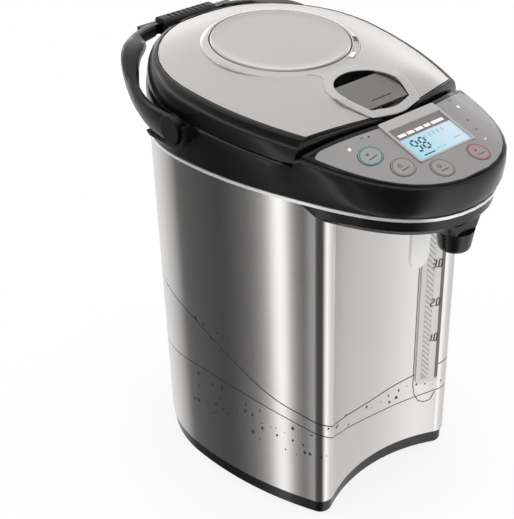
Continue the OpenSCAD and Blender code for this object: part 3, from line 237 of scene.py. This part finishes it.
# %% Finish: one material under construction
class Finish(Graph):
    def __init__(self, name, colour, **sockets):
        self.material = bpy.data.materials.new(name)
        self.material.use_nodes = True
        super().__init__(self.material.node_tree)
        self.shader = self.tree.nodes["Principled BSDF"]
        self.set("Base Color", colour)
        for socket, value in sockets.items():
            self.set(socket.replace("_", " "), value)

    def set(self, socket, value):
        self.plug(self.shader.inputs[socket], value)

    def point(self):
        """The point in metres, in the pot's own frame."""
        return self.node("ShaderNodeTexCoord", out="Object")

    def place(self):
        """The same point, and its x, y and z."""
        where = self.point()
        return where, *self.node("ShaderNodeSeparateXYZ", out=None, _0=where)

    def bump(self, height, strength=0.2, depth=0.0001, edge=0.0):
        """Relief of the skin; edge is the radius to which sharp corners look rounded."""
        under = {}
        if edge:
            under["Normal"] = self.node("ShaderNodeBevel", {"samples": 4}, Radius=edge)
        relief = self.node("ShaderNodeBump", Strength=strength, Distance=depth, Height=height,
                           **under)
        self.set("Normal", relief)


print("Finish ready")

# %% [markdown]
# ## The studio
# Polished steel shows its surroundings more than its own colour, and a tall metal body is read
# by the bright and dark upright bands it mirrors: soft boxes, and the dark room between them.
# Seen from above, the upright walls mirror what lies lower than the horizon, and the lid mirrors
# what stands behind the pot. So the world that mirror rays meet has two parts: below, a ring of
# light and dark zones told apart by compass angle; above, a dark room with one broad soft box
# behind the pot and a narrow strip of light. Real boxes and screens could stand there, but a
# world of zones is quicker to render and each band can be moved by one number.

# %% World: what mirror rays meet
world = bpy.data.worlds.new("studio")
bpy.context.scene.world = world
world.use_nodes = True
world.node_tree.nodes.clear()
room = Graph(world.node_tree)

PEAK = 2.4
FILL, BACKDROP, OVERHEAD = 0.75, 1, 0.8
ZONES = [(0, 0.85), (20, 0.9), (48, 0.9), (90, 0.9), (104, 0.7), (114, 0.5), (124, 0.14),
         (146, 0.07), (158, 0.2), (164.5, 0.5), (167.5, 1.8), (170, 2.1), (171.5, 1.4),
         (173, 0.3), (178, 0.05), (184, 0.6), (190, 0.2), (205, 0.08), (240, 0.08), (252, 0.5),
         (264, 1.2), (276, 1.5), (290, 1.3), (302, 1.1), (315, 0.95), (335, 0.88), (360, 0.85)]
BEHIND = [(0, 0.5), (20, 0.65), (45, 0.82), (100, 0.95), (128, 0.6), (150, 0.2), (200, 0.08),
          (250, 0.06), (300, 0.1), (330, 0.3), (360, 0.5)]
HORIZON, ZENITH = (-0.03, 0.10), (0.66, 0.9)
STRIP_FOOT, STRIP_HEAD = (0.13, 0.16), (0.27, 0.24)

direction = room.node("ShaderNodeTexCoord", out="Generated")
east, north, height = room.node("ShaderNodeSeparateXYZ", out=None, _0=direction)
turn_share = (north.math("ARCTAN2", east) / (2 * math.pi) + 1).math("FRACT")


def round_the_pot(zones):
    stops = [(angle / 360, grey(light / PEAK)) for angle, light in zones]
    return room.node("ShaderNodeValToRGB", {"stops": stops}, Fac=turn_share)


ring = round_the_pot(ZONES)
upper = room.mix(height.step(*ZENITH), round_the_pot(BEHIND), grey(OVERHEAD / PEAK))
strip_light = height.step(*STRIP_FOOT) * height.step(*STRIP_HEAD)
upper = room.mix(strip_light, upper, grey(1.0))
mirrored = room.mix(height.step(*HORIZON), ring, upper)
print("zones round the pot", len(ZONES), "and above", len(BEHIND))

# %% [markdown]
# ## Who sees what
# The mirrored room must not be seen behind the pot, nor tint the light that falls on it. The
# Light Path node tells which ray is asking. Mirror rays get the zones, the lens and clear
# plastic get a white backdrop, and the rest gets an even pale fill.

# %% World: the backdrop and the fill
asking = room.rays()
seen = room.mix(asking["Is Glossy Ray"], grey(FILL / PEAK), mirrored)
straight = asking["Is Camera Ray"].either(asking["Is Transmission Ray"])
seen = room.mix(straight, seen, grey(BACKDROP / PEAK))
sky = room.node("ShaderNodeBackground", Color=seen, Strength=PEAK)
room.node("ShaderNodeOutputWorld", _0=sky)
bpy.context.scene.view_settings.view_transform = "Standard"
print("fill", FILL, "backdrop", BACKDROP)

# %% [markdown]
# ## Soft boxes
# Three large area lamps give the soft shadow and the shape of the matt pieces: one over the lid
# and one on each side. They are hidden from mirror rays, because the zones already hold what the
# steel mirrors, and a second set of boxes would show as squares.

# %% Soft boxes
def soft_box(name, place, target, width, tall, watts):
    lamp = bpy.data.lights.new(name, "AREA")
    lamp.shape = "RECTANGLE"
    lamp.size, lamp.size_y, lamp.energy = width, tall, watts
    made = bpy.data.objects.new(name, lamp)
    bpy.context.scene.collection.objects.link(made)
    made.location = place
    made.rotation_mode = "QUATERNION"
    made.rotation_quaternion = (Vector(place) - Vector(target)).to_track_quat("Z", "Y")
    made.visible_glossy = False


LAMPS = [("box_over", (0.1, 0.25, 1.5), (0, 0, 0.3), 1.2, 1.2, 9),
         ("box_right", (1.3, -0.5, 0.9), (0, 0, 0.2), 0.7, 1.1, 7),
         ("box_left", (-1.2, 0.7, 0.9), (0, 0, 0.2), 0.5, 1.1, 6)]
for spec in LAMPS:
    soft_box(*spec)
print(len(LAMPS), "soft boxes")

# %% [markdown]
# ## The floor
# The pot stands on a plain pale floor. Near the pot the floor keeps its shading, so that it
# holds the shadow, and further out it glows as white as the backdrop, so no edge is seen.
# Mirror rays pass through it, because the zones below the horizon are what the walls mirror.

# %% Floor
REACH = 4
POT_MIDDLE, SHADOW_EDGE = (0.03, 0.02), (0.13, 0.34)
NEAR_GLOW = 0.85
floor_mesh = bpy.data.meshes.new("floor")
floor_mesh.from_pydata([(-REACH, -REACH, 0), (REACH, -REACH, 0), (REACH, REACH, 0),
                        (-REACH, REACH, 0)], [], [(0, 1, 2, 3)])
floor = bpy.data.objects.new("floor", floor_mesh)
bpy.context.scene.collection.objects.link(floor)
ground = Finish("floor_white", grey(0.8), Roughness=0.9)
where, x, y, _ = ground.place()
ground.set("Base Color", ground.mix(ground.noise(where, 3.0), grey(0.78), grey(0.82)))
asking = ground.rays()
glow = ground.node("ShaderNodeEmission", Color=grey(1.0))
from_x, from_y = x - POT_MIDDLE[0], y - POT_MIDDLE[1]
away = (from_x * from_x + from_y * from_y).math("SQRT").step(*SHADOW_EDGE)
plain = Val(ground, ground.shader.outputs[0])
share = asking["Is Camera Ray"] * (away * (1 - NEAR_GLOW) + NEAR_GLOW)
lit = ground.node("ShaderNodeMixShader", _0=share, _1=plain, _2=glow)
clear = ground.node("ShaderNodeBsdfTransparent")
surface = ground.node("ShaderNodeMixShader", _0=asking["Is Glossy Ray"], _1=lit, _2=clear)
ground.plug(ground.tree.nodes["Material Output"].inputs[0], surface)
floor.data.materials.append(ground.material)
print("floor placed")

# %% [markdown]
# ## The print on the steel
# Low on the body the steel carries a decoration in dark ink: two thin waving lines that run
# round it, and beads of many sizes strewn beside them. It could be mesh laid on the panels, but
# it crosses from one panel to the next. So it is drawn in the steel's own material, placed by
# height and by the way round the front corner. A line is a curve of heights, and the beads are
# the cells of a flat Voronoi pattern, each with its own size, kept where a band allows them.

# %% Waving lines and beads
WAY_START, WAY_LENGTH, WAY_HEIGHT = -140, 340, 200
FIRST_LINE = [(-140, 160), (-100, 151), (-50, 130), (0, 108), (42, 98), (58, 94), (78, 82),
              (100, 76), (130, 78), (200, 92)]
SECOND_LINE = [(-140, 92), (-100, 101), (-50, 101), (0, 95), (42, 87), (58, 83), (78, 69),
               (104, 60), (140, 58), (200, 64)]
FIRST_THICK, SECOND_THICK = 0.0006, 0.0005
BEADS_PER_METRE = 105


def wave(steel, along, course):
    """Height in metres of a line through points (way round, height) in millimetres."""
    shares = [((a - WAY_START) / WAY_LENGTH, b / WAY_HEIGHT) for a, b in course]
    way = (along - WAY_START * MM) / (WAY_LENGTH * MM)
    return steel.node("ShaderNodeFloatCurve", {"course": shares}, Value=way) * (WAY_HEIGHT * MM)


def scatter(steel, along, up, density):
    """Distance to the nearest scattered point, and two random numbers of that point."""
    sheet = steel.node("ShaderNodeCombineXYZ", X=along * density, Y=up * density)
    cells = steel.node("ShaderNodeTexVoronoi", {"voronoi_dimensions": "2D"}, out=None,
                       Vector=sheet, Scale=1.0, Randomness=0.85)
    spot, colour = cells[:2]
    chance, size, _ = steel.node("ShaderNodeSeparateColor", out=None, _0=colour)
    return spot, chance, size


def wave_print(steel, x, y, z):
    """1 where the ink is: two waving lines, and beads of many sizes strewn beside them."""
    along = x - y
    first = z - wave(steel, along, FIRST_LINE)
    second = z - wave(steel, along, SECOND_LINE)
    lines = (abs(first) < FIRST_THICK).either(abs(second) < SECOND_THICK)
    spot, chance, size = scatter(steel, along, z, BEADS_PER_METRE)
    beside_first = (abs(first - 0.002) < 0.010) * (along < -0.045)
    under_second = (abs(second + 0.022) < 0.019) * (abs(along + 0.02) < 0.08)
    over_second = (abs(second - 0.008) < 0.007) * (along > 0.06)
    beads = (spot < size * 0.15 + 0.04) * (chance > 0.4)
    return lines.either(beads * beside_first.either(under_second).either(over_second))


print("lines through", len(FIRST_LINE), "and", len(SECOND_LINE), "points")

# %% [markdown]
# ## Brushed steel
# The sleeve is sheet steel, brushed round its girth before it was bent. Brushing does two
# things: it scatters light across the scratches, so mirrored boxes are drawn out into upright
# bands, and it leaves fine level lines. The first is the shader's anisotropy, the second a noise
# that is stretched along the girth. The front panel and the lid are duller and less marked.

# %% Brushed steel
INK_GREY = 0.03


def brushed(name, colour, rough, across=0.65, print_on=False):
    steel = Finish(name, colour, Metallic=1.0, Anisotropic=across, Anisotropic_Rotation=0.25)
    where, x, y, z = steel.place()
    scratch = steel.noise(steel.stretched(where, 8, 8, 2600), 1.0, 4.0, 0.6)
    cloud = steel.noise(where, 14.0, 2.0)
    steel.set("Roughness", rough + scratch * 0.04 + cloud * 0.03)
    tone = steel.mix(scratch, shade(colour, 0.97), shade(colour, 1.02))
    if print_on:
        inked = wave_print(steel, x, y, z)
        tone = steel.mix(inked, tone, grey(INK_GREY))
        steel.set("Metallic", 1 - inked)
    steel.set("Base Color", tone)
    steel.bump(scratch, 0.05, 0.00005)
    return steel.material


finishes = {"brushed_steel": brushed("sleeve_steel", (0.66, 0.645, 0.635), 0.14, 0.8, True),
            "panel_steel": brushed("panel_steel", (0.62, 0.60, 0.59), 0.28, 0.5, True),
            "lid_metal": brushed("lid_metal", (0.66, 0.635, 0.62), 0.30, 0.3)}
print("brushed finishes", sorted(finishes))

# %% [markdown]
# ## Bright metals
# The trim line, the ring in the lid, the pot, the screws and the contacts are plated, drawn or
# cast metal without a grain. One function makes them all: a mirror with a faint haze in it,
# which keeps large bright faces from looking like computer chrome.

# %% Bright metals
def polished(name, colour, rough, edge=0.0, metal=1.0):
    bright = Finish(name, colour, Metallic=metal)
    where = bright.point()
    haze = bright.noise(where, 40.0, 4.0)
    bright.set("Roughness", rough + haze * 0.05)
    bright.set("Base Color", bright.mix(haze, shade(colour, 0.96), colour))
    bright.bump(bright.noise(where, 300.0), 0.03, 0.00005, edge)
    return bright.material


finishes["bright_trim"] = polished("chrome_trim", (0.87, 0.87, 0.88), 0.12, 0.0006)
finishes["polished_steel"] = polished("pot_steel", (0.75, 0.74, 0.73), 0.10)
finishes["steel_small"] = polished("screw_steel", (0.66, 0.66, 0.67), 0.22)
finishes["aluminium"] = polished("cast_aluminium", (0.62, 0.62, 0.63), 0.40)
finishes["brass"] = polished("contact_brass", (0.79, 0.62, 0.32), 0.22)
finishes["latch_grey"] = polished("latch_satin", (0.27, 0.26, 0.255), 0.30, 0.0004)
trim_satin = polished("trim_satin", (0.73, 0.715, 0.705), 0.18, 0.0009)
rim_bright = polished("rim_bright", (0.88, 0.87, 0.86), 0.22, 0.0, 0.5)
print("metal finishes", len(finishes), "and", trim_satin.name, "and", rim_bright.name)

# %% [markdown]
# ## Plastics, rubber and the rest
# Housing, handle and base are black moulded plastic with a gloss skin: a dark base with a clear
# coat that mirrors the room, and the faint waviness that every moulding has. Softer plastics and
# rubber get a finer grain and no coat. Colours are linear, so black plastic is near 0.01.

# %% Moulded plastics
def moulded(name, colour, rough, coat=0.0, grain=900.0, relief=0.08, edge=0.0, **sockets):
    plastic = Finish(name, colour, Coat_Weight=coat, Coat_Roughness=0.04, **sockets)
    where = plastic.point()
    skin = plastic.noise(where, grain, 2.0)
    swell = plastic.noise(where, 18.0, 2.0)
    plastic.set("Roughness", rough + skin * 0.05 + swell * 0.06)
    plastic.set("Base Color", plastic.mix(swell, shade(colour, 0.9), shade(colour, 1.1)))
    plastic.bump(skin, relief, 0.00004, edge)
    return plastic.material


finishes["black_gloss"] = moulded("black_gloss", (0.004, 0.004, 0.0042), 0.20, 0.2, 500.0, 0.03,
                                  0.0008, Specular_IOR_Level=0.3)
finishes["black_plastic"] = moulded("black_satin", (0.016, 0.016, 0.017), 0.42, 0.0, 1400.0,
                                    0.25, 0.0005)
finishes["white_plastic"] = moulded("white_plastic", (0.78, 0.77, 0.73), 0.40)
finishes["rubber"] = moulded("foot_rubber", (0.025, 0.025, 0.026), 0.75, 0.0, 700.0, 0.5)
finishes["silicone"] = moulded("silicone", (0.72, 0.70, 0.66), 0.45, 0.0, 300.0, 0.2)
finishes["insulation"] = moulded("wool_felt", (0.62, 0.56, 0.36), 0.95, 0.0, 260.0, 0.9)
finishes["board_green"] = moulded("circuit_board", (0.02, 0.13, 0.06), 0.35, 0.3, 900.0, 0.2)
well_gloss = moulded("well_gloss", (0.10, 0.095, 0.09), 0.22, 0.6, 600.0, 0.05, 0.0004,
                     Metallic=0.6)
print("finishes so far", len(finishes))

# %% [markdown]
# ## Metallic films
# The control panel, its four keys and the bezel of the display are plastic under a painted film
# with metal flakes in it, half way between a plastic and a metal. Each key's film leans a little
# to the colour of its ring, as light scattered in the print does.

# %% Panel, keys and bezel
PANEL_GREY = (0.31, 0.303, 0.30)
KEY_TINTS = {"key_left_rear": (0.29, 0.33, 0.32), "key_left_front": PANEL_GREY,
             "key_front_left": PANEL_GREY, "key_front_right": (0.34, 0.27, 0.275)}
finishes["panel_film"] = moulded("panel_film", PANEL_GREY, 0.36, 0.1, 1800.0, 0.15, 0.0004,
                                 Metallic=0.5)
key_films = {name: moulded(f"{name}_film", tint, 0.34, 0.1, 1500.0, 0.1, 0.0004, Metallic=0.4)
             for name, tint in KEY_TINTS.items()}
finishes["key_grey"] = key_films["key_left_front"]
bezel_film = moulded("bezel_satin", (0.54, 0.525, 0.515), 0.28, 0.2, 1500.0, 0.08, 0.0005,
                     Metallic=0.7)
print("films", len(key_films) + 2)

# %% [markdown]
# ## Clear pieces and the display
# The gauge's cover and the cup lever are milky rather than clear: most of their light comes back
# from the skin. The level tube is clear. The display glows softly, and its colour runs from a
# deeper blue on one side to a paler one on the other, as a lit crystal display does.

# %% Clear pieces and the display
finishes["clear_plastic"] = moulded("clear_cover", (0.95, 0.93, 0.88), 0.08, 0.3, 300.0, 0.02,
                                    Transmission_Weight=0.15, IOR=1.46)
finishes["clear_tube"] = moulded("clear_tube", (0.92, 0.95, 0.96), 0.04, 0.0, 300.0, 0.02,
                                 Transmission_Weight=0.9, IOR=1.46)
lever_milky = moulded("lever_milky", (0.92, 0.905, 0.89), 0.25, 0.3, 600.0, 0.02)
screen = Finish("display_glass", (0.25, 0.50, 0.80), Roughness=0.15, Emission_Strength=0.35,
                Coat_Weight=0.4)
where, x, *_ = screen.place()
side = (x * 20 + 0.5).step(0.0, 1.1)
tint = screen.mix(side, (0.25, 0.44, 0.52), (0.42, 0.50, 0.58))
screen.set("Base Color", tint)
screen.set("Emission Color", tint)
screen.bump(screen.noise(where, 400.0), 0.02)
finishes["display"] = screen.material
print("all finishes", len(finishes))

# %% [markdown]
# ## Inks
# Marks are screen printed, which leaves a thin skin of ink with a slight unevenness in tone and
# gloss. The shadow ink is not print but painted shade, and so is the rear part of the mask. The
# inks of the display are smoother, because they stand for what the crystals show.

# %% Inks
def ink(name, colour, rough=0.45):
    print_ink = Finish(f"ink_{name}", colour)
    where = print_ink.point()
    grain = print_ink.noise(where, 2500.0, 2.0)
    print_ink.set("Base Color", print_ink.mix(grain, shade(colour, 0.88), shade(colour, 1.08)))
    print_ink.set("Roughness", rough + grain * 0.1)
    print_ink.bump(grain, 0.1, 0.00002)
    return print_ink.material


INKS = {"dark": (0.07, 0.062, 0.058), "teal": (0.02, 0.17, 0.15), "red": (0.30, 0.045, 0.06),
        "brown": (0.16, 0.14, 0.13), "white": (0.85, 0.84, 0.82), "cream": (0.80, 0.775, 0.68),
        "shadow": (0.20, 0.175, 0.17), "backing": (0.56, 0.54, 0.50)}
inks = {name: ink(name, colour) for name, colour in INKS.items()}
inks["segment"] = ink("segment", (0.015, 0.075, 0.09), 0.2)
inks["faint"] = ink("faint", (0.24, 0.40, 0.47), 0.2)
# mask ink: the dark ground of the label fields, and at its rear painted shade of the recess's wall
inks["mask"] = ink("mask", (0.17, 0.145, 0.135), 0.25)
print("inks", sorted(inks))

# %% [markdown]
# ## Shading the solids
# The curved panels arrive as many small flat faces. Subdividing them would move them off the
# CAD surface, so a small group of geometry nodes only welds them and shades across every edge
# that is nearly flat, without moving a vertex.

# %% Smooth shading by angle
WELD, NEARLY_FLAT = 0.000002, math.radians(24)


def smooth_group():
    group = bpy.data.node_groups.new("shade_by_angle", "GeometryNodeTree")
    group.interface.new_socket("Geometry", in_out="INPUT", socket_type="NodeSocketGeometry")
    group.interface.new_socket("Geometry", in_out="OUTPUT", socket_type="NodeSocketGeometry")
    shading = Graph(group)
    start = shading.node("NodeGroupInput")
    weld = shading.node("GeometryNodeMergeByDistance", Geometry=start, Distance=WELD)
    faces = shading.node("GeometryNodeSetShadeSmooth", Geometry=weld)
    angle = shading.node("GeometryNodeInputMeshEdgeAngle")
    across = shading.node("FunctionNodeCompare", {"operation": "LESS_THAN"}, A=angle,
                          B=NEARLY_FLAT)
    edges = shading.node("GeometryNodeSetShadeSmooth", {"domain": "EDGE"}, Geometry=faces,
                         Shade_Smooth=across)
    shading.node("NodeGroupOutput", _0=edges)
    return group


by_angle = smooth_group()
print("shading across edges under", round(math.degrees(NEARLY_FLAT)), "degrees")

# %% [markdown]
# ## Dressing the solids
# Every CAD node takes the finish of its slot in the record, and a few take a variant of it that
# is theirs alone. Normals that came with a mesh are taken off, because they would override the
# shading by angle.

# %% A finish for every node
variants = {**key_films, "lcd_bezel": bezel_film, "trim_ring": rim_bright,
            "lid_trim": trim_satin, "latch_well": well_gloss, "cup_lever": lever_milky}
slots = {s["node"]: s["material_slot"] for s in frame["record"]["subparts"]}
for name, solid in frame["nodes"].items():
    solid.data.materials.clear()
    solid.data.materials.append(variants.get(name, finishes[slots[name]]))
    if "custom_normal" in solid.data.attributes:
        solid.data.attributes.remove(solid.data.attributes["custom_normal"])
    solid.modifiers.new("shade_by_angle", "NODES").node_group = by_angle
print("dressed", len(frame["nodes"]), "nodes")

# %% [markdown]
# ## The bellows and its spring
# Under the press plate of the air pump a pleated rubber bellows and a coil spring fold together
# when the plate goes down. A rigid body can't do that, and shape keys or an armature would need a
# driver. Each gets its own copy of the mesh, hung on the lid's body in place of the CAD node,
# which is hidden.

# %% Bellows and spring copied onto the lid
for name in ("bellows", "press_spring"):
    folding = bpy.data.objects.new(f"folding_{name}", frame["nodes"][name].data.copy())
    bpy.context.scene.collection.objects.link(folding)
    folding.modifiers.new("shade_by_angle", "NODES").node_group = by_angle
    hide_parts(name)
    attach(folding, "lid")
    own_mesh(folding)

# %% [markdown]
# ## Outlines of marks
# Marks are drawn flat, in millimetres, from three shapes: a disc, a ring and a bar. A ring is
# two half rings, because a face can't have a hole. A digit is a few bars on the seven-segment
# pattern, leaning a little to the right, which needs no font.

# %% Outlines
LEAN = 0.04
SEGMENTS = {"a": (0, 2, 1, 2), "b": (1, 2, 1, 1), "c": (1, 1, 1, 0), "d": (0, 0, 1, 0),
            "e": (0, 0, 0, 1), "f": (0, 1, 0, 2), "g": (0, 1, 1, 1)}
DIGITS = {"0": "abcdef", "1": "bc", "2": "abged", "3": "abgcd", "4": "fgbc", "8": "abcdefg",
          "9": "abcdfg"}


def disc(cx, cy, r, count=24):
    angles = [2 * math.pi * i / count for i in range(count)]
    return [[(cx + r * math.cos(a), cy + r * math.sin(a)) for a in angles]]


def ring_outline(cx, cy, outer, inner, count=20):
    halves = []
    for start in (0, math.pi):
        angles = [start + math.pi * i / count for i in range(count + 1)]
        far = [(cx + outer * math.cos(a), cy + outer * math.sin(a)) for a in angles]
        near = [(cx + inner * math.cos(a), cy + inner * math.sin(a)) for a in reversed(angles)]
        halves.append(far + near)
    return halves


def bar(x0, y0, x1, y1, width):
    dx, dy = x1 - x0, y1 - y0
    size = math.hypot(dx, dy)
    nx, ny = -dy / size * width / 2, dx / size * width / 2
    return [[(x0 - nx, y0 - ny), (x1 - nx, y1 - ny), (x1 + nx, y1 + ny), (x0 + nx, y0 + ny)]]


def digit(letter, x, y, wide, tall, thick, gap=0.55):
    """A seven-segment digit whose lower left corner is at x, y; gap shortens its bars."""
    outlines = []
    for segment in DIGITS[letter]:
        ax, ay, bx, by = SEGMENTS[segment]
        start = Vector((x + ax * wide + ay * LEAN * tall, y + ay * tall / 2))
        end = Vector((x + bx * wide + by * LEAN * tall, y + by * tall / 2))
        along = (end - start).normalized() * thick * gap
        outlines += bar(*(start + along), *(end - along), thick)
    return outlines


print("digits", " ".join(sorted(DIGITS)))

# %% [markdown]
# ## Print that follows a surface
# An outline lies on a flat sheet held above the solid. Each of its corners is dropped on the
# solid along the sheet's normal, so rings and digits lie on crowned surfaces as ink does. The
# ink gets an underside within the solid too, so each mark is a closed shape and not a loose
# face. A projected image could do the same, but it would blur close up.

# %% Dropping outlines on a solid
def solid_tree(node):
    mesh = frame["nodes"][node].data
    return BVHTree.FromPolygons([v.co for v in mesh.vertices],
                                [p.vertices for p in mesh.polygons])


def dropped(tree, sheet, x, y, lift):
    normal = (sheet.to_3x3() @ Vector((0, 0, 1))).normalized()
    start = sheet @ (Vector((x, y, 0)) * MM)
    hit = tree.ray_cast(start, -normal)[0]
    if hit is None:
        raise RuntimeError(f"no solid under {x:.1f}, {y:.1f}")
    return hit + normal * lift * MM


def printed(name, body, node, sheet, outlines, ink_name, slot, lift=0.06, depth=0.12):
    tree = solid_tree(node)
    grown = bmesh.new()
    for outline in outlines:
        top = [grown.verts.new(dropped(tree, sheet, x, y, lift)) for x, y in outline]
        low = [grown.verts.new(dropped(tree, sheet, x, y, lift - depth)) for x, y in outline]
        grown.faces.new(top)
        grown.faces.new(reversed(low))
        for i in range(len(top)):
            j = (i + 1) % len(top)
            grown.faces.new((low[i], low[j], top[j], top[i]))
    bmesh.ops.recalc_face_normals(grown, faces=grown.faces)
    mesh = bpy.data.meshes.new(name)
    grown.to_mesh(mesh)
    grown.free()
    piece = bpy.data.objects.new(name, mesh)
    bpy.context.scene.collection.objects.link(piece)
    mesh.materials.append(inks[ink_name])
    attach(piece, body)


print("printing ready")

# %% [markdown]
# ## The keys
# Each key has a printed ring, teal and red on the outer two, with a short bar and a small sign
# in it. The print rides on the key's own body, so it goes down with the key. The sheet for the
# whole control panel lies square to the head, which leans back by five degrees.

# %% Rings and signs on the keys
HEAD = Matrix.Translation((0, 0, 0.3195)) @ Matrix.Rotation(math.radians(5), 4, "X")
SHEET = HEAD @ Matrix.Translation((0, 0, 0.06))
KEYS = {"left_rear": ((-48.5, -146), "teal", "red"), "left_front": ((-38.5, -166), "brown", "dark"),
        "front_left": ((-17, -180.5), "brown", "dark"), "front_right": ((17.5, -181), "red", "red")}
RING_OUTER, RING_INNER = 7.7, 6.9
for place, ((cx, cy), ring_ink, sign_ink) in KEYS.items():
    on_key = f"button_{place}", f"key_{place}", SHEET
    ring = ring_outline(cx, cy, RING_OUTER, RING_INNER)
    line = bar(cx - 3.4, cy - 2.2, cx + 3.6, cy - 2.2, 0.8)
    sign = disc(cx - 1.2, cy + 1.8, 1.2)
    if sign_ink == "dark":
        sign = ring_outline(cx - 1.2, cy + 1.8, 1.5, 0.9)
    printed(f"ring_{place}", *on_key, ring, ring_ink, "key_grey")
    printed(f"bar_{place}", *on_key, line, "dark", "key_grey")
    printed(f"sign_{place}", *on_key, sign, sign_ink, "key_grey")
print("keys", sorted(KEYS))

# %% [markdown]
# ## Small marks on the panel
# A pot like this has words, arrows and lamps printed beside its keys. The words are left out,
# and a few dots, dashes and one small ring keep their places.

# %% Small marks on the panel
MARKS = {"white": disc(44, -138, 1.3) + disc(-55, -133, 1.2) + bar(32, -173.5, 34.5, -172.5, 0.8),
         "dark": disc(38, -152.6, 1.0) + disc(-38, -133, 0.9) + ring_outline(44, -129.5, 1.6, 1.1)
         + bar(34, -162.5, 37, -162.5, 0.9) + bar(-44, -131, -41.5, -131, 0.7)}
for colour, outlines in MARKS.items():
    printed(f"panel_marks_{colour}", "base", "control_panel", SHEET, outlines, colour,
            "panel_film")
print("marks on the panel", sum(len(outlines) for outlines in MARKS.values()))

# %% [markdown]
# ## The display
# The display has a dark mask with a row of pale label fields, two large digits, a line under
# them and a few faint marks. The rear part of the mask is painted shade, standing for the
# shaded rear wall of the recess. No words are printed: the fields stay bare. Its glass is tilted
# further than the head, so it has its own sheet. Mask, fields and digits lie at slightly
# different heights, because two faces in one place would flicker.

# %% Display
GLASS_AT = Vector((0, -149.5, 18.5955)) * MM
GLASS_TILT = Matrix.Rotation(math.radians(12.345), 4, "X")
GLASS = HEAD @ Matrix.Translation(GLASS_AT) @ GLASS_TILT @ Matrix.Translation((0, 0, 0.01))
FIELDS = ((-21.5, -14.5), (-13, -7), (-5.5, 1.5), (3, 8.5), (10, 21.5))
# the mask: dark ground under the label fields, and at its rear painted shade where the recess's
# rear wall stands
mask = bar(-24.3, 7.1, 24.3, 7.1, 10.2)
fields = []
for start, end in FIELDS:
    fields += bar(start, 5.4, end, 5.4, 2.6)
digits = digit("9", -19.2, -12.2, 4.6, 10.4, 1.5) + digit("8", -11.8, -12.2, 4.6, 10.4, 1.5)
digits += bar(-18.5, -16.6, -8.2, -16.6, 1.0)
faint = ring_outline(-4.2, -2.6, 1.0, 0.5) + bar(13, -13, 20, -13, 0.7)
for start in (-0.5, 3.5, 7.5, 11.5):
    faint += digit("8", start, -3.6, 1.6, 2.8, 0.5)
for start in (-4.5, -1.5, 1.5):
    faint += bar(start, -15.5, start + 1.8, -15.5, 0.8)
on_glass = "base", "lcd_module", GLASS
printed("display_mask_and_rear_shade", *on_glass, mask, "mask", "display", 0.05, 0.1)
printed("display_fields", *on_glass, fields, "white", "display", 0.12, 0.15)
printed("display_digits", *on_glass, digits, "segment", "display", 0.05, 0.1)
printed("display_faint", *on_glass, faint, "faint", "display", 0.05, 0.1)
print("display bars", len(fields) + len(digits) + len(faint))

# %% [markdown]
# ## The water gauge
# The cover of the gauge carries a scale: a plain number for each litre, beside a column of
# slanting hatch lines that makes the water's edge easy to see. All places are shares of the
# cover's own box, so the scale stays on the cover when the cover's size is changed.

# %% Scale of the gauge
FRONT = Matrix(((1, 0, 0, 0), (0, 0, -1, -0.16), (0, 1, 0, 0), (0, 0, 0, 1)))
low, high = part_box("gauge_cover")
left, wide = low[0] / MM, (high[0] - low[0]) / MM
bottom, top = low[2] / MM, (high[2] - low[2]) / MM + low[2] / MM
HATCH_PITCH, HATCH_FROM, HATCH_TO = 4.8, 0.25, 0.54
NUMBERS_FROM, LITRES = 0.47, (("10", 0.22), ("20", 0.40), ("30", 0.59), ("40", 0.78))


def column(middle, breadth, foot=4):
    """An upright strip; middle and breadth are shares of the cover's width."""
    return bar(left + middle * wide, bottom + foot, left + middle * wide, top - 4, breadth * wide)


hatch = []
for step in range(int((top - bottom - 14) / HATCH_PITCH)):
    level = bottom + 8 + step * HATCH_PITCH
    hatch += bar(left + HATCH_FROM * wide, level + 5, left + HATCH_TO * wide, level - 2, 1.3)
numbers = []
for (litres, tenths), share in LITRES:
    level, start = bottom + share * (top - bottom), left + NUMBERS_FROM * wide
    numbers += digit(litres, start, level, 2.2, 6.6, 1.1, 0.0)
    numbers += disc(start + 3.5, level, 0.5, 10)
    numbers += digit(tenths, start + 4.5, level, 2.2, 6.6, 1.1, 0.0)
on_cover = "base", "gauge_cover", FRONT
printed("gauge_backing", *on_cover, column(0.395, 0.33, 5), "backing", "white_plastic", 0.04)
printed("gauge_hatch", *on_cover, hatch, "white", "white_plastic", 0.10)
printed("gauge_numbers", *on_cover, numbers, "dark", "black_plastic", 0.14)
printed("gauge_strip", *on_cover, column(0.13, 0.12), "cream", "white_plastic", 0.04)
# painted shadow: a dark strip down the right side of the cover
printed("gauge_shadow", *on_cover, column(0.92, 0.14), "shadow", "black_plastic", 0.04)
print("gauge from", round(bottom), "to", round(top), "mm with", len(hatch), "hatch lines")

# %% [markdown]
# ## The rim of the gauge
# The front panel is pressed round the gauge, and the shade along the pressed rim is painted as a
# thin dark line that runs down beside the cover and turns under it in a loose U. It is drawn as
# short bars from point to point on the panel.

# %% Rim round the gauge
RIM_SHADE_THICK = 0.9
rim_shade_course = [(left - 1.3, top - 8), (left - 1.3, bottom), (left + 0.2, bottom - 10),
              (left + 4, bottom - 18), (left + 9, bottom - 21), (left + 0.8 * wide, bottom - 20),
              (left + 0.98 * wide, bottom - 12)]
rim_shade = []
for start, end in zip(rim_shade_course, rim_shade_course[1:]):
    rim_shade += bar(*start, *end, RIM_SHADE_THICK)
# painted shade along the pressed rim, in the shadow ink
printed("gauge_rim_shade", "base", "front_panel", FRONT, rim_shade, "shadow", "black_plastic")
print("rim of", len(rim_shade), "bars")
